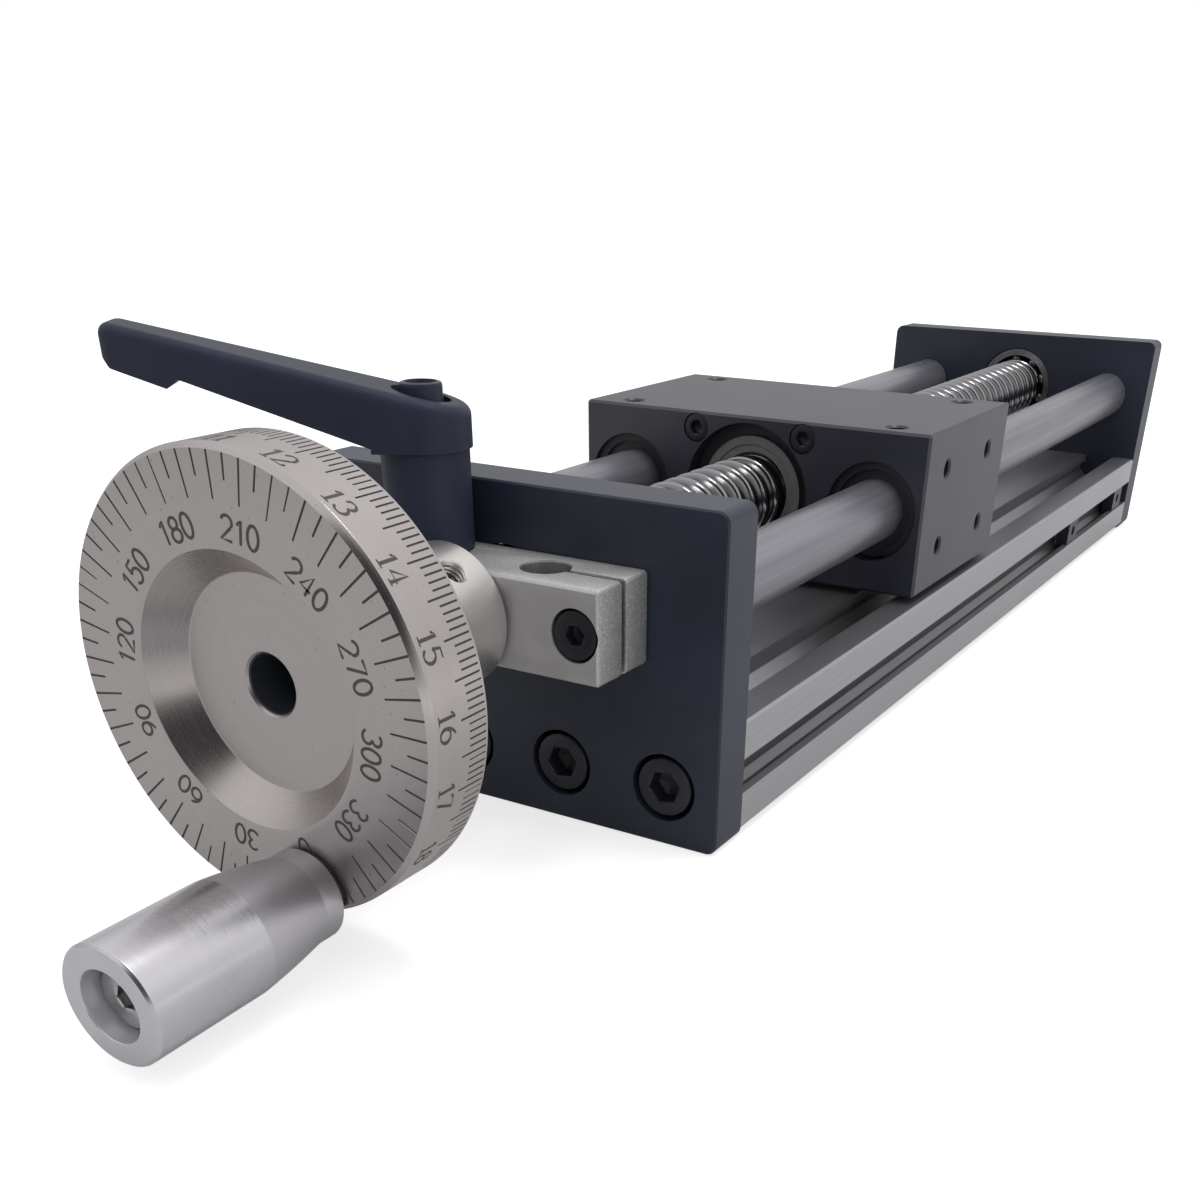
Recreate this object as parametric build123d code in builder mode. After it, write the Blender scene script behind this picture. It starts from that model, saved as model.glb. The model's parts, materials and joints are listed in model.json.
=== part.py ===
from build123d import *
import os
from math import cos, radians, sin, tan

# Ball screw linear stage with a scaled handwheel and a shaft clamping lever.
# Millimetres. X runs along the screw from the handwheel to the rear plate, Z is up.
# x = 0 is the middle of the front plate, y = 0 the screw axis, z = 0 the feet of the plates.

# Driving sizes: distance between the rods, and height of the screw and rods over the base
rod_spacing = 56.0
axis_rise = 17.0

# End plates, as wide as the base; the rear one is a little lower
plate_top_rise = 17.0
rear_plate_drop = 2.0
plate_thickness = 9.0
plate_corner_radius = 2.0
plate_edge_break = 0.3

# Extruded base between the plates
base_length = 260.0
base_side_margin = 1.0
base_height = 19.0
base_ground_gap = 1.5
base_corner_radius = 0.6
top_slot_edge_distance = 10.0
top_slot_mouth = 8.0
top_slot_lip = 2.0
top_slot_chamber = 10.6
top_slot_depth = 6.0
top_slot_bevel = 1.8
bottom_slot_depth = 5.6
side_slot_mouth = 6.0
side_slot_lip = 1.5
side_slot_chamber = 8.4
side_slot_depth = 4.6
side_slot_bevel = 1.2
middle_hollow_width = 8.6
middle_hollow_height = 11.0
outer_hollow_height = 8.0
core_hole_web = 4.8
slot_web = 2.3
hollow_roof = 3.0
hollow_corner_radius = 1.2

# Screws that hold the plates to the base, four in a row at each end
plate_screw_drop = 1.0
plate_screw_radius = 3.0
plate_screw_reach = 14.0
plate_screw_head_radius = 5.0
plate_screw_head_height = 6.0
plate_screw_key = 5.0
plate_screw_key_depth = 3.0
plate_screw_hole_radius = 3.3
plate_counterbore_radius = 5.8
plate_counterbore_depth = 6.2
core_hole_radius = 2.5
thread_clearance = 0.03
thread_runout = 2.0

# Guide rods
rod_radius = 6.0
rod_socket_depth = 5.0
rod_end_chamfer = 0.8
seat_clearance = 0.01

# Ball screw: threaded part, bearing journals and the front drive end
screw_radius = 8.0
screw_shoulder_radius = 6.25
journal_radius = 5.0
drive_end_radius = 4.0
drive_end_length = 28.0
screw_end_chamfer = 0.5
thread_face_gap = 0.4

# Deep-groove bearings in the plates
bearing_outer_radius = 11.0
bearing_width = 6.0
bearing_pocket_depth = 6.5
bearing_inner_ring_radius = 7.0
bearing_outer_ring_bore = 9.0
bearing_ball_radius = 1.6
bearing_ball_count = 9
race_clearance = 0.05
bearing_edge_break = 0.3
bearing_relief_radius = 9.6
bearing_relief_depth = 0.5
front_wall_hole_radius = 7.5
retaining_ring_thickness = 1.0
retaining_ring_radius = 6.9
retaining_groove_depth = 0.25
journal_end_gap = 0.5

# Carriage
carriage_length = 48.0
carriage_side_wall = 11.0
carriage_top_rise = 15.3
carriage_base_gap = 1.3
carriage_edge_break = 0.5
carriage_end_margin = 6.0
carriage_rest_travel = 70.0
top_hole_spacing_x = 38.0
top_hole_edge_distance = 9.0
top_hole_radius = 2.1
top_hole_depth = 4.4
side_hole_spacing_x = 25.0
side_hole_spacing_z = 15.0
side_hole_radius = 1.65
side_hole_depth = 3.0
tapped_mouth_bevel = 0.4
drill_point_angle = 118.0

# Linear bushes in the carriage, two on each rod
bush_outer_radius = 9.5
bush_shoulder_length = 3.6
bush_recess = 2.2
bush_running_clearance = 0.03
bush_end_chamfer = 0.4
shoulder_bore_radius = 7.5
bush_ring_thickness = 1.0
bush_ring_inner_radius = 7.9
bush_ring_groove_depth = 0.5
bush_ring_gap_angle = 50.0

# Ball nut
nut_radius = 14.0
nut_front_setback = 4.5
nut_collar_radius = 11.2
nut_collar_length = 1.8
nut_flange_radius = 20.0
nut_flange_flats = 29.0
nut_flange_thickness = 5.0
nut_running_clearance = 0.06
nut_wiper_radius = 9.6
nut_wiper_depth = 3.0
nut_wiper_setback = 0.4
nut_screw_offset = 12.1
nut_screw_radius = 1.5
nut_screw_hole_radius = 1.65
nut_screw_head_radius = 2.75
nut_screw_head_height = 3.0
nut_screw_key = 2.5
nut_screw_key_depth = 1.5
nut_counterbore_radius = 2.85
nut_counterbore_depth = 3.2
nut_screw_grip = 4.0

# Split block that clamps the drive end of the screw
block_thickness = 14.2
block_width = 53.4
block_height = 14.4
block_edge_break = 0.5
block_shaft_clearance = 0.05
keyhole_end_distance = 13.9
keyhole_radius = 4.0
keyhole_slit = 1.4
jaw_slit = 1.2
block_screw_end_distance = 4.4
block_screw_radius = 2.0
block_screw_hole_radius = 2.2
block_screw_head_radius = 3.5
block_screw_head_height = 4.0
block_screw_key = 3.0
block_screw_key_depth = 2.0
block_counterbore_radius = 4.1
block_counterbore_depth = 5.0
block_screw_reach = 3.4
block_screw_tip_gap = 0.4

# Clamping lever over the block
lever_offset = 8.9
lever_heading = 125.0
stud_radius = 2.5
stud_hole_radius = 2.65
stud_end_gap = 1.2
drum_radius = 4.9
drum_root_radius = 4.4
drum_teeth = 12
drum_height = 10.2
drum_floor_gap = 0.1
drum_socket_clearance = 0.15
lever_floor_gap = 0.3
sleeve_radius = 6.8
sleeve_height = 14.7
hub_radius = 7.3
arm_reach = 44.7
arm_tip_width = 8.8
arm_tip_corner_radius = 2.2
arm_tip_cut = 2.2
arm_top_slope = 0.226
arm_top_rise = 22.05
arm_bottom_slope = 0.344
arm_root_rise = 15.4
arm_root_reach = 7.4
arm_pad_length = 10.7
arm_pad_drop = 1.85
arm_pad_ramp = 1.8
arm_top_round = 1.6
button_radius = 3.25
button_height = 3.2
button_top_rise = 23.75
button_edge_break = 0.4
button_dish_radius = 2.4
button_dish_depth = 0.5
button_key = 3.0
button_key_depth = 1.6
button_recess_radius = 4.45
lever_screw_radius = 1.75
lever_screw_hole_radius = 2.0
lever_screw_grip = 6.0
socket_roof = 2.4
spring_radius = 2.75
spring_wire_radius = 0.4
spring_turns = 4.0
spring_seat_gap = 0.15

# Handwheel with a long hub
wheel_radius = 30.9
wheel_rim_thickness = 11.6
wheel_face_radius = 30.2
wheel_face_bevel = 0.9
wheel_back_bevel = 0.4
cone_mouth_radius = 18.55
cone_floor_radius = 14.7
cone_depth = 4.9
hub_outer_radius = 10.95
hub_length = 31.9
hub_root_fillet = 1.0
hub_end_bevel = 0.4
hub_block_gap = 0.5
bore_bevel = 0.5
set_screw_radius = 2.0
set_screw_setback = 6.5
set_screw_angle = 126.0
set_screw_spread = 90.0
set_screw_sink = 1.2
set_screw_key = 2.0
set_screw_key_depth = 1.6

# Turning grip on its shoulder pin
grip_orbit_radius = 27.5
grip_angle = -105.5
grip_length = 34.1
grip_radius = 8.35
grip_straight_length = 19.0
grip_waist_radius = 6.7
grip_waist_length = 3.6
grip_middle_radius = 7.6
grip_middle_place = 25.2
grip_end_bevel = 0.4
grip_bore_clearance = 0.06
grip_counterbore_radius = 5.0
grip_counterbore_depth = 6.0
washer_thickness = 0.4
washer_radius = 5.8
grip_end_gap = 0.1
pin_radius = 3.0
pin_thread_radius = 2.5
pin_thread_length = 8.0
pin_head_radius = 4.3
pin_head_height = 3.4
pin_head_gap = 0.15
pin_key = 3.0
pin_key_depth = 1.8

# Slot nuts left in the side slot
slot_nut_end_distances = (59.5, 10.5)
slot_nut_length = 9.0
slot_nut_clearance = 0.05
slot_nut_sink = 0.4
slot_nut_hole_radius = 1.25

# Sizes and places that follow from the sizes above
base_middle_height = base_ground_gap + base_height / 2
base_top = base_ground_gap + base_height
axis_height = base_top + axis_rise
carriage_width = rod_spacing + 2 * carriage_side_wall
base_width = carriage_width + 2 * base_side_margin
plate_width = base_width
plate_height = axis_height + plate_top_rise
rear_plate_height = plate_height - rear_plate_drop
top_slot_offset = base_width / 2 - top_slot_edge_distance
bottom_slot_offset = base_width / 4
plate_screw_inner_offset = base_width / 8
plate_screw_outer_offset = top_slot_offset
top_hole_spacing_y = carriage_width - 2 * top_hole_edge_distance
keyhole_offset = block_width / 2 - keyhole_end_distance
block_screw_offset = block_width / 2 - block_screw_end_distance
plate_screw_height = base_middle_height - plate_screw_drop
bush_length = carriage_length / 2 - bush_recess - bush_shoulder_length / 2
plate_front = -plate_thickness / 2
plate_back = plate_thickness / 2
rear_plate_front = plate_back + base_length
rear_plate_back = rear_plate_front + plate_thickness
screw_axis = Axis((0, 0, axis_height), (1, 0, 0))
front_bearing_start = plate_back - bearing_pocket_depth
rear_bearing_start = rear_plate_front + bearing_pocket_depth - bearing_width
front_shoulder = front_bearing_start + bearing_width
bearing_pitch_radius = (bearing_inner_ring_radius + bearing_outer_ring_bore) / 2
carriage_bottom = base_top + carriage_base_gap
carriage_top = axis_height + carriage_top_rise
carriage_middle = plate_back + carriage_end_margin + carriage_length / 2 + carriage_rest_travel
carriage_front = carriage_middle - carriage_length / 2
carriage_back = carriage_middle + carriage_length / 2
block_front = plate_front - block_thickness
block_middle = plate_front - block_thickness / 2
block_top = axis_height + block_height / 2
hub_back = block_front - hub_block_gap
wheel_back = hub_back - hub_length
wheel_front = wheel_back - wheel_rim_thickness
wheel_floor = wheel_front + cone_depth
drive_end = plate_front - drive_end_length
plate_screw_points = [
    (side * offset, plate_screw_height)
    for side in (-1, 1)
    for offset in (plate_screw_inner_offset, plate_screw_outer_offset)
]
rod_points = [(-rod_spacing / 2, axis_height), (rod_spacing / 2, axis_height)]

os.makedirs("parts", exist_ok=True)


def facing_back(x):
    """Plane across the stage at x that looks towards the rear plate: local x is +Y, local y is +Z."""
    return Plane.YZ.offset(x)


def facing_front(x):
    """Plane across the stage at x that looks towards the handwheel: local x is -Y, local y is +Z."""
    return Plane(origin=(x, 0, 0), x_dir=(0, -1, 0), z_dir=(-1, 0, 0))


def along_axis(y, z):
    """Upright plane through an axis along X at (y, z), for profiles that are revolved about it."""
    return Plane(origin=(0, y, z), x_dir=(1, 0, 0), z_dir=(0, -1, 0))


def t_slot(mouth, lip, chamber, depth, bevel):
    """Corners of a T-slot that opens along +y, with its mouth at the origin."""
    half = [
        (mouth / 2, 1.0),
        (mouth / 2, -lip),
        (chamber / 2, -lip),
        (chamber / 2, bevel - depth),
        (chamber / 2 - bevel, -depth),
    ]
    return half + [(-x, y) for x, y in reversed(half)]


def tapped_hole(radius, depth):
    """Blind hole for a thread at the current places, with a bevelled mouth and a drill point."""
    from_top = (Align.CENTER, Align.CENTER, Align.MAX)
    mouth_radius = radius + tapped_mouth_bevel
    point_depth = radius / tan(radians(drill_point_angle / 2))
    Hole(radius, depth=depth)
    Cone(radius, mouth_radius, tapped_mouth_bevel, align=from_top, mode=Mode.SUBTRACT)
    with Locations((0, 0, -depth)):
        Cone(0, radius, point_depth, align=from_top, mode=Mode.SUBTRACT)


def write(piece, name):
    """Label a finished piece and write it to its own file."""
    piece.part.label = name
    export_step(piece.part, f"parts/{name}.step")


# Extruded base: T-slots above, below and at both sides, core holes and closed hollows
top_slot = t_slot(top_slot_mouth, top_slot_lip, top_slot_chamber, top_slot_depth, top_slot_bevel)
bottom_slot = t_slot(top_slot_mouth, top_slot_lip, top_slot_chamber, bottom_slot_depth, top_slot_bevel)
side_slot = t_slot(side_slot_mouth, side_slot_lip, side_slot_chamber, side_slot_depth, side_slot_bevel)
hollow_top = base_top - hollow_roof
outer_hollow_start = plate_screw_inner_offset + core_hole_web
outer_hollow_end = top_slot_offset - top_slot_chamber / 2 - slot_web
outer_hollow_offset = (outer_hollow_start + outer_hollow_end) / 2
outer_hollow_width = outer_hollow_end - outer_hollow_start
with BuildPart() as base_extrusion:
    with BuildSketch(facing_back(plate_back)) as base_section:
        with Locations((0, base_middle_height)):
            Rectangle(base_width, base_height)
        fillet(base_section.vertices(), base_corner_radius)
        with Locations((-top_slot_offset, base_top), (top_slot_offset, base_top)):
            Polygon(*top_slot, align=None, mode=Mode.SUBTRACT)
        with Locations((-bottom_slot_offset, base_ground_gap), (bottom_slot_offset, base_ground_gap)):
            Polygon(*bottom_slot, rotation=180, align=None, mode=Mode.SUBTRACT)
        with Locations((base_width / 2, base_middle_height)):
            Polygon(*side_slot, rotation=-90, align=None, mode=Mode.SUBTRACT)
        with Locations((-base_width / 2, base_middle_height)):
            Polygon(*side_slot, rotation=90, align=None, mode=Mode.SUBTRACT)
        with Locations((0, hollow_top - middle_hollow_height / 2)):
            RectangleRounded(
                middle_hollow_width, middle_hollow_height, hollow_corner_radius, mode=Mode.SUBTRACT
            )
        with Locations(
            (-outer_hollow_offset, hollow_top - outer_hollow_height / 2),
            (outer_hollow_offset, hollow_top - outer_hollow_height / 2),
        ):
            RectangleRounded(
                outer_hollow_width, outer_hollow_height, hollow_corner_radius, mode=Mode.SUBTRACT
            )
        with Locations(*plate_screw_points):
            Circle(core_hole_radius, mode=Mode.SUBTRACT)
    extrude(amount=base_length)
    tapped_depth = plate_screw_reach + thread_runout
    for end in (facing_front(plate_back), facing_back(rear_plate_front)):
        with BuildSketch(end):
            with Locations(*plate_screw_points):
                Circle(plate_screw_radius + thread_clearance)
        extrude(amount=-tapped_depth, mode=Mode.SUBTRACT)
write(base_extrusion, "base_extrusion")

# Front end plate: sunk screw holes in front, rod sockets and a bearing pocket behind
with BuildPart() as front_end_plate:
    with BuildSketch(facing_back(plate_front)) as front_outline:
        with Locations((0, plate_height / 2)):
            Rectangle(plate_width, plate_height)
        fillet(front_outline.vertices(), plate_corner_radius)
    extrude(amount=plate_thickness)
    chamfer(front_end_plate.edges().group_by(Axis.X)[0], plate_edge_break)
    with Locations(facing_front(plate_front)):
        with Locations(*plate_screw_points):
            CounterBoreHole(plate_screw_hole_radius, plate_counterbore_radius, plate_counterbore_depth)
    with BuildSketch(facing_back(plate_back)):
        with Locations(*rod_points):
            Circle(rod_radius + seat_clearance)
    extrude(amount=-rod_socket_depth, mode=Mode.SUBTRACT)
    with BuildSketch(facing_back(plate_back)):
        with Locations((0, axis_height)):
            Circle(bearing_outer_radius + seat_clearance)
    extrude(amount=-bearing_pocket_depth, mode=Mode.SUBTRACT)
    with BuildSketch(facing_back(plate_back)):
        with Locations((0, axis_height)):
            Circle(front_wall_hole_radius)
    extrude(amount=-plate_thickness, mode=Mode.SUBTRACT)
    with BuildSketch(facing_front(plate_front)):
        with Locations((block_screw_offset, axis_height)):
            Circle(block_screw_radius + thread_clearance)
    extrude(amount=-(block_screw_reach + block_screw_tip_gap), mode=Mode.SUBTRACT)
write(front_end_plate, "front_end_plate")

# Rear end plate: the same sockets in its front face, a blind bearing pocket, screws from behind
with BuildPart() as rear_end_plate:
    with BuildSketch(facing_back(rear_plate_front)) as rear_outline:
        with Locations((0, rear_plate_height / 2)):
            Rectangle(plate_width, rear_plate_height)
        fillet(rear_outline.vertices(), plate_corner_radius)
    extrude(amount=plate_thickness)
    chamfer(rear_end_plate.edges().group_by(Axis.X)[-1], plate_edge_break)
    with Locations(facing_back(rear_plate_back)):
        with Locations(*plate_screw_points):
            CounterBoreHole(plate_screw_hole_radius, plate_counterbore_radius, plate_counterbore_depth)
    with BuildSketch(facing_front(rear_plate_front)):
        with Locations(*rod_points):
            Circle(rod_radius + seat_clearance)
    extrude(amount=-rod_socket_depth, mode=Mode.SUBTRACT)
    with BuildSketch(facing_front(rear_plate_front)):
        with Locations((0, axis_height)):
            Circle(bearing_outer_radius + seat_clearance)
    extrude(amount=-bearing_pocket_depth, mode=Mode.SUBTRACT)
    with BuildSketch(facing_front(rear_plate_front)):
        with Locations((0, axis_height)):
            Circle(bearing_relief_radius)
    extrude(amount=-bearing_pocket_depth - bearing_relief_depth, mode=Mode.SUBTRACT)
write(rear_end_plate, "rear_end_plate")

# Guide rods, seated in blind sockets in both plates
rod_length = base_length + 2 * rod_socket_depth
for name, side in (("guide_rod_left", 1), ("guide_rod_right", -1)):
    with BuildPart() as guide_rod:
        with BuildSketch(facing_back(plate_back - rod_socket_depth)):
            with Locations((side * rod_spacing / 2, axis_height)):
                Circle(rod_radius)
        extrude(amount=rod_length)
        chamfer(guide_rod.edges().filter_by(GeomType.CIRCLE), rod_end_chamfer)
    write(guide_rod, name)

# Socket head screws through the plates into the base's core holes
screw_seats = (
    ("front_plate_screws", facing_front(plate_front + plate_counterbore_depth)),
    ("rear_plate_screws", facing_back(rear_plate_back - plate_counterbore_depth)),
)
plate_screw_length = plate_thickness - plate_counterbore_depth + plate_screw_reach
for name, seat in screw_seats:
    with BuildPart() as plate_screws:
        with BuildSketch(seat):
            with Locations(*plate_screw_points):
                Circle(plate_screw_head_radius)
        extrude(amount=plate_screw_head_height)
        with BuildSketch(seat):
            with Locations(*plate_screw_points):
                Circle(plate_screw_radius)
        extrude(amount=-plate_screw_length)
        with BuildSketch(seat.offset(plate_screw_head_height)):
            with Locations(*plate_screw_points):
                RegularPolygon(plate_screw_key / 2, 6, major_radius=False)
        extrude(amount=-plate_screw_key_depth, mode=Mode.SUBTRACT)
    write(plate_screws, name)

# Bearings: outer rings seated in the plates, balls in the race, inner rings on the screw
race_radius = bearing_ball_radius + race_clearance
for end, start in (("front", front_bearing_start), ("rear", rear_bearing_start)):
    middle = start + bearing_width / 2
    with BuildPart() as outer_ring:
        with BuildSketch(facing_back(start)):
            with Locations((0, axis_height)):
                Circle(bearing_outer_radius)
                Circle(bearing_outer_ring_bore, mode=Mode.SUBTRACT)
        extrude(amount=bearing_width)
        chamfer(
            outer_ring.edges().filter_by(GeomType.CIRCLE).group_by(SortBy.RADIUS)[-1], bearing_edge_break
        )
        with BuildSketch(along_axis(0, axis_height)):
            with Locations((middle, bearing_pitch_radius)):
                Circle(race_radius)
        revolve(axis=screw_axis, mode=Mode.SUBTRACT)
    write(outer_ring, f"{end}_bearing_outer_ring")

    with BuildPart() as inner_ring:
        with BuildSketch(facing_back(start)):
            with Locations((0, axis_height)):
                Circle(bearing_inner_ring_radius)
                Circle(journal_radius + seat_clearance, mode=Mode.SUBTRACT)
        extrude(amount=bearing_width)
        with BuildSketch(along_axis(0, axis_height)):
            with Locations((middle, bearing_pitch_radius)):
                Circle(race_radius)
        revolve(axis=screw_axis, mode=Mode.SUBTRACT)
    write(inner_ring, f"{end}_bearing_inner_ring")

    with BuildPart() as balls:
        with Locations(facing_back(middle).shift_origin((middle, 0, axis_height))):
            with PolarLocations(bearing_pitch_radius, bearing_ball_count):
                Sphere(bearing_ball_radius)
    write(balls, f"{end}_bearing_balls")

# Ball screw: threaded length with shoulders against both bearings, and a plain drive end
groove_radius = journal_radius - retaining_groove_depth
front_face_of_thread = plate_back + thread_face_gap
rear_face_of_thread = rear_plate_front - thread_face_gap
screw_tail = rear_plate_front + bearing_pocket_depth
with BuildPart() as ball_screw:
    with BuildSketch(along_axis(0, axis_height)):
        with BuildLine():
            Polyline(
                (drive_end, 0),
                (drive_end, drive_end_radius - screw_end_chamfer),
                (drive_end + screw_end_chamfer, drive_end_radius),
                (plate_front + journal_end_gap, drive_end_radius),
                (plate_front + journal_end_gap, journal_radius),
                (front_bearing_start - retaining_ring_thickness, journal_radius),
                (front_bearing_start - retaining_ring_thickness, groove_radius),
                (front_bearing_start, groove_radius),
                (front_bearing_start, journal_radius),
                (front_shoulder, journal_radius),
                (front_shoulder, screw_shoulder_radius),
                (front_face_of_thread, screw_shoulder_radius),
                (front_face_of_thread, screw_radius - screw_end_chamfer),
                (front_face_of_thread + screw_end_chamfer, screw_radius),
                (rear_face_of_thread - screw_end_chamfer, screw_radius),
                (rear_face_of_thread, screw_radius - screw_end_chamfer),
                (rear_face_of_thread, screw_shoulder_radius),
                (rear_bearing_start, screw_shoulder_radius),
                (rear_bearing_start, journal_radius),
                (screw_tail - screw_end_chamfer, journal_radius),
                (screw_tail, journal_radius - screw_end_chamfer),
                (screw_tail, 0),
                close=True,
            )
        make_face()
    revolve(axis=screw_axis)
write(ball_screw, "ball_screw")

# Open ring that holds the front bearing on its journal
with BuildPart() as shaft_retaining_ring:
    with BuildSketch(facing_back(front_bearing_start - retaining_ring_thickness)):
        with Locations((0, axis_height)):
            Circle(retaining_ring_radius)
            Circle(groove_radius + seat_clearance, mode=Mode.SUBTRACT)
        with Locations((0, axis_height + retaining_ring_radius)):
            Rectangle(journal_radius / 2, retaining_ring_radius, mode=Mode.SUBTRACT)
    extrude(amount=retaining_ring_thickness)
write(shaft_retaining_ring, "shaft_retaining_ring")

# Carriage block: rod bores with a shoulder between the bushes, nut bore, tapped mounting faces
ring_groove_radius = bush_outer_radius + bush_ring_groove_depth
bush_bore_depth = bush_recess + bush_length
nut_screw_points = [
    (side * nut_screw_offset, axis_height + level * nut_screw_offset)
    for side in (-1, 1)
    for level in (-1, 1)
]
with BuildPart() as carriage_block:
    with BuildSketch(facing_back(carriage_front)):
        with Locations((0, (carriage_bottom + carriage_top) / 2)):
            Rectangle(carriage_width, carriage_top - carriage_bottom)
    extrude(amount=carriage_length)
    chamfer(carriage_block.edges(), carriage_edge_break)
    with BuildSketch(facing_back(carriage_front)):
        with Locations(*rod_points):
            Circle(shoulder_bore_radius)
        with Locations((0, axis_height)):
            Circle(nut_radius + seat_clearance)
    extrude(amount=carriage_length, mode=Mode.SUBTRACT)
    for mouth in (facing_front(carriage_front), facing_back(carriage_back)):
        with BuildSketch(mouth):
            with Locations(*rod_points):
                Circle(bush_outer_radius + seat_clearance)
        extrude(amount=-bush_bore_depth, mode=Mode.SUBTRACT)
        with BuildSketch(mouth.offset(-bush_recess)):
            with Locations(*rod_points):
                Circle(ring_groove_radius)
        extrude(amount=bush_ring_thickness, mode=Mode.SUBTRACT)
    with Locations(facing_front(carriage_front)):
        with Locations(*nut_screw_points):
            CounterBoreHole(nut_screw_hole_radius, nut_counterbore_radius, nut_counterbore_depth)
    with Locations(Plane.XY.offset(carriage_top)):
        with Locations((carriage_middle, 0)):
            with GridLocations(top_hole_spacing_x, top_hole_spacing_y, 2, 2):
                tapped_hole(top_hole_radius, top_hole_depth)
    for side in (-1, 1):
        side_face = Plane(
            origin=(carriage_middle, side * carriage_width / 2, axis_height),
            x_dir=(1, 0, 0),
            z_dir=(0, side, 0),
        )
        with Locations(side_face):
            with GridLocations(side_hole_spacing_x, side_hole_spacing_z, 2, 2):
                tapped_hole(side_hole_radius, side_hole_depth)
write(carriage_block, "carriage_block")

# Linear bushes, two on each rod, each against the shoulder in the middle of its bore
for end, start in (
    ("front", carriage_front + bush_recess),
    ("rear", carriage_back - bush_recess - bush_length),
):
    for side_name, side in (("left", 1), ("right", -1)):
        with BuildPart() as linear_bush:
            with BuildSketch(facing_back(start)):
                with Locations((side * rod_spacing / 2, axis_height)):
                    Circle(bush_outer_radius)
                    Circle(rod_radius + bush_running_clearance, mode=Mode.SUBTRACT)
            extrude(amount=bush_length)
            chamfer(
                linear_bush.edges().filter_by(GeomType.CIRCLE).group_by(SortBy.RADIUS)[-1], bush_end_chamfer
            )
        write(linear_bush, f"{end}_{side_name}_bush")

# Open rings in the mouths of the rod bores
with BuildPart() as bush_retaining_rings:
    for plane in (
        facing_back(carriage_front + bush_recess - bush_ring_thickness),
        facing_back(carriage_back - bush_recess),
    ):
        with BuildSketch(plane):
            with Locations(*rod_points):
                Circle(ring_groove_radius - seat_clearance)
                Circle(bush_ring_inner_radius, mode=Mode.SUBTRACT)
                gap_width = 2 * bush_ring_inner_radius * sin(radians(bush_ring_gap_angle / 2))
                with Locations((0, -bush_outer_radius)):
                    Rectangle(gap_width, bush_outer_radius, mode=Mode.SUBTRACT)
        extrude(amount=bush_ring_thickness)
write(bush_retaining_rings, "bush_retaining_rings")

# Ball nut: body in the carriage's bore, collar in front, flange with two flats behind
nut_front = carriage_front + nut_front_setback
nut_bore_radius = screw_radius + nut_running_clearance
with BuildPart() as ball_nut:
    with BuildSketch(facing_back(nut_front)):
        with Locations((0, axis_height)):
            Circle(nut_radius)
    extrude(amount=carriage_back - nut_front)
    with BuildSketch(facing_front(nut_front)):
        with Locations((0, axis_height)):
            Circle(nut_collar_radius)
    extrude(amount=nut_collar_length)
    with BuildSketch(facing_back(carriage_back)):
        with Locations((0, axis_height)):
            Circle(nut_flange_radius)
            Rectangle(2 * nut_flange_radius, nut_flange_flats, mode=Mode.INTERSECT)
    extrude(amount=nut_flange_thickness)
    with BuildSketch(facing_back(nut_front - nut_collar_length)):
        with Locations((0, axis_height)):
            Circle(nut_bore_radius)
    extrude(amount=carriage_length + nut_flange_thickness, mode=Mode.SUBTRACT)
    for mouth in (
        facing_front(nut_front - nut_collar_length),
        facing_back(carriage_back + nut_flange_thickness),
    ):
        with BuildSketch(mouth):
            with Locations((0, axis_height)):
                Circle(nut_wiper_radius)
        extrude(amount=-nut_wiper_depth, mode=Mode.SUBTRACT)
    with BuildSketch(facing_back(carriage_back)):
        with Locations(*nut_screw_points):
            Circle(nut_screw_radius + thread_clearance)
    extrude(amount=nut_flange_thickness, mode=Mode.SUBTRACT)
write(ball_nut, "ball_nut")

# Wiper rings in both ends of the nut
for name, mouth in (
    ("front_nut_wiper", facing_front(nut_front - nut_collar_length)),
    ("rear_nut_wiper", facing_back(carriage_back + nut_flange_thickness)),
):
    with BuildPart() as nut_wiper:
        with BuildSketch(mouth.offset(-nut_wiper_setback)):
            with Locations((0, axis_height)):
                Circle(nut_wiper_radius - seat_clearance)
                Circle(nut_bore_radius, mode=Mode.SUBTRACT)
        extrude(amount=nut_wiper_setback - nut_wiper_depth)
    write(nut_wiper, name)

# Long screws through the carriage that pull the nut's flange against its rear face
nut_screw_seat = facing_front(carriage_front + nut_counterbore_depth)
with BuildPart() as nut_screws:
    with BuildSketch(nut_screw_seat):
        with Locations(*nut_screw_points):
            Circle(nut_screw_head_radius)
    extrude(amount=nut_screw_head_height)
    with BuildSketch(nut_screw_seat):
        with Locations(*nut_screw_points):
            Circle(nut_screw_radius)
    extrude(amount=nut_counterbore_depth - carriage_length - nut_screw_grip)
    with BuildSketch(nut_screw_seat.offset(nut_screw_head_height)):
        with Locations(*nut_screw_points):
            RegularPolygon(nut_screw_key / 2, 6, major_radius=False)
    extrude(amount=-nut_screw_key_depth, mode=Mode.SUBTRACT)
write(nut_screws, "nut_screws")

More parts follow.
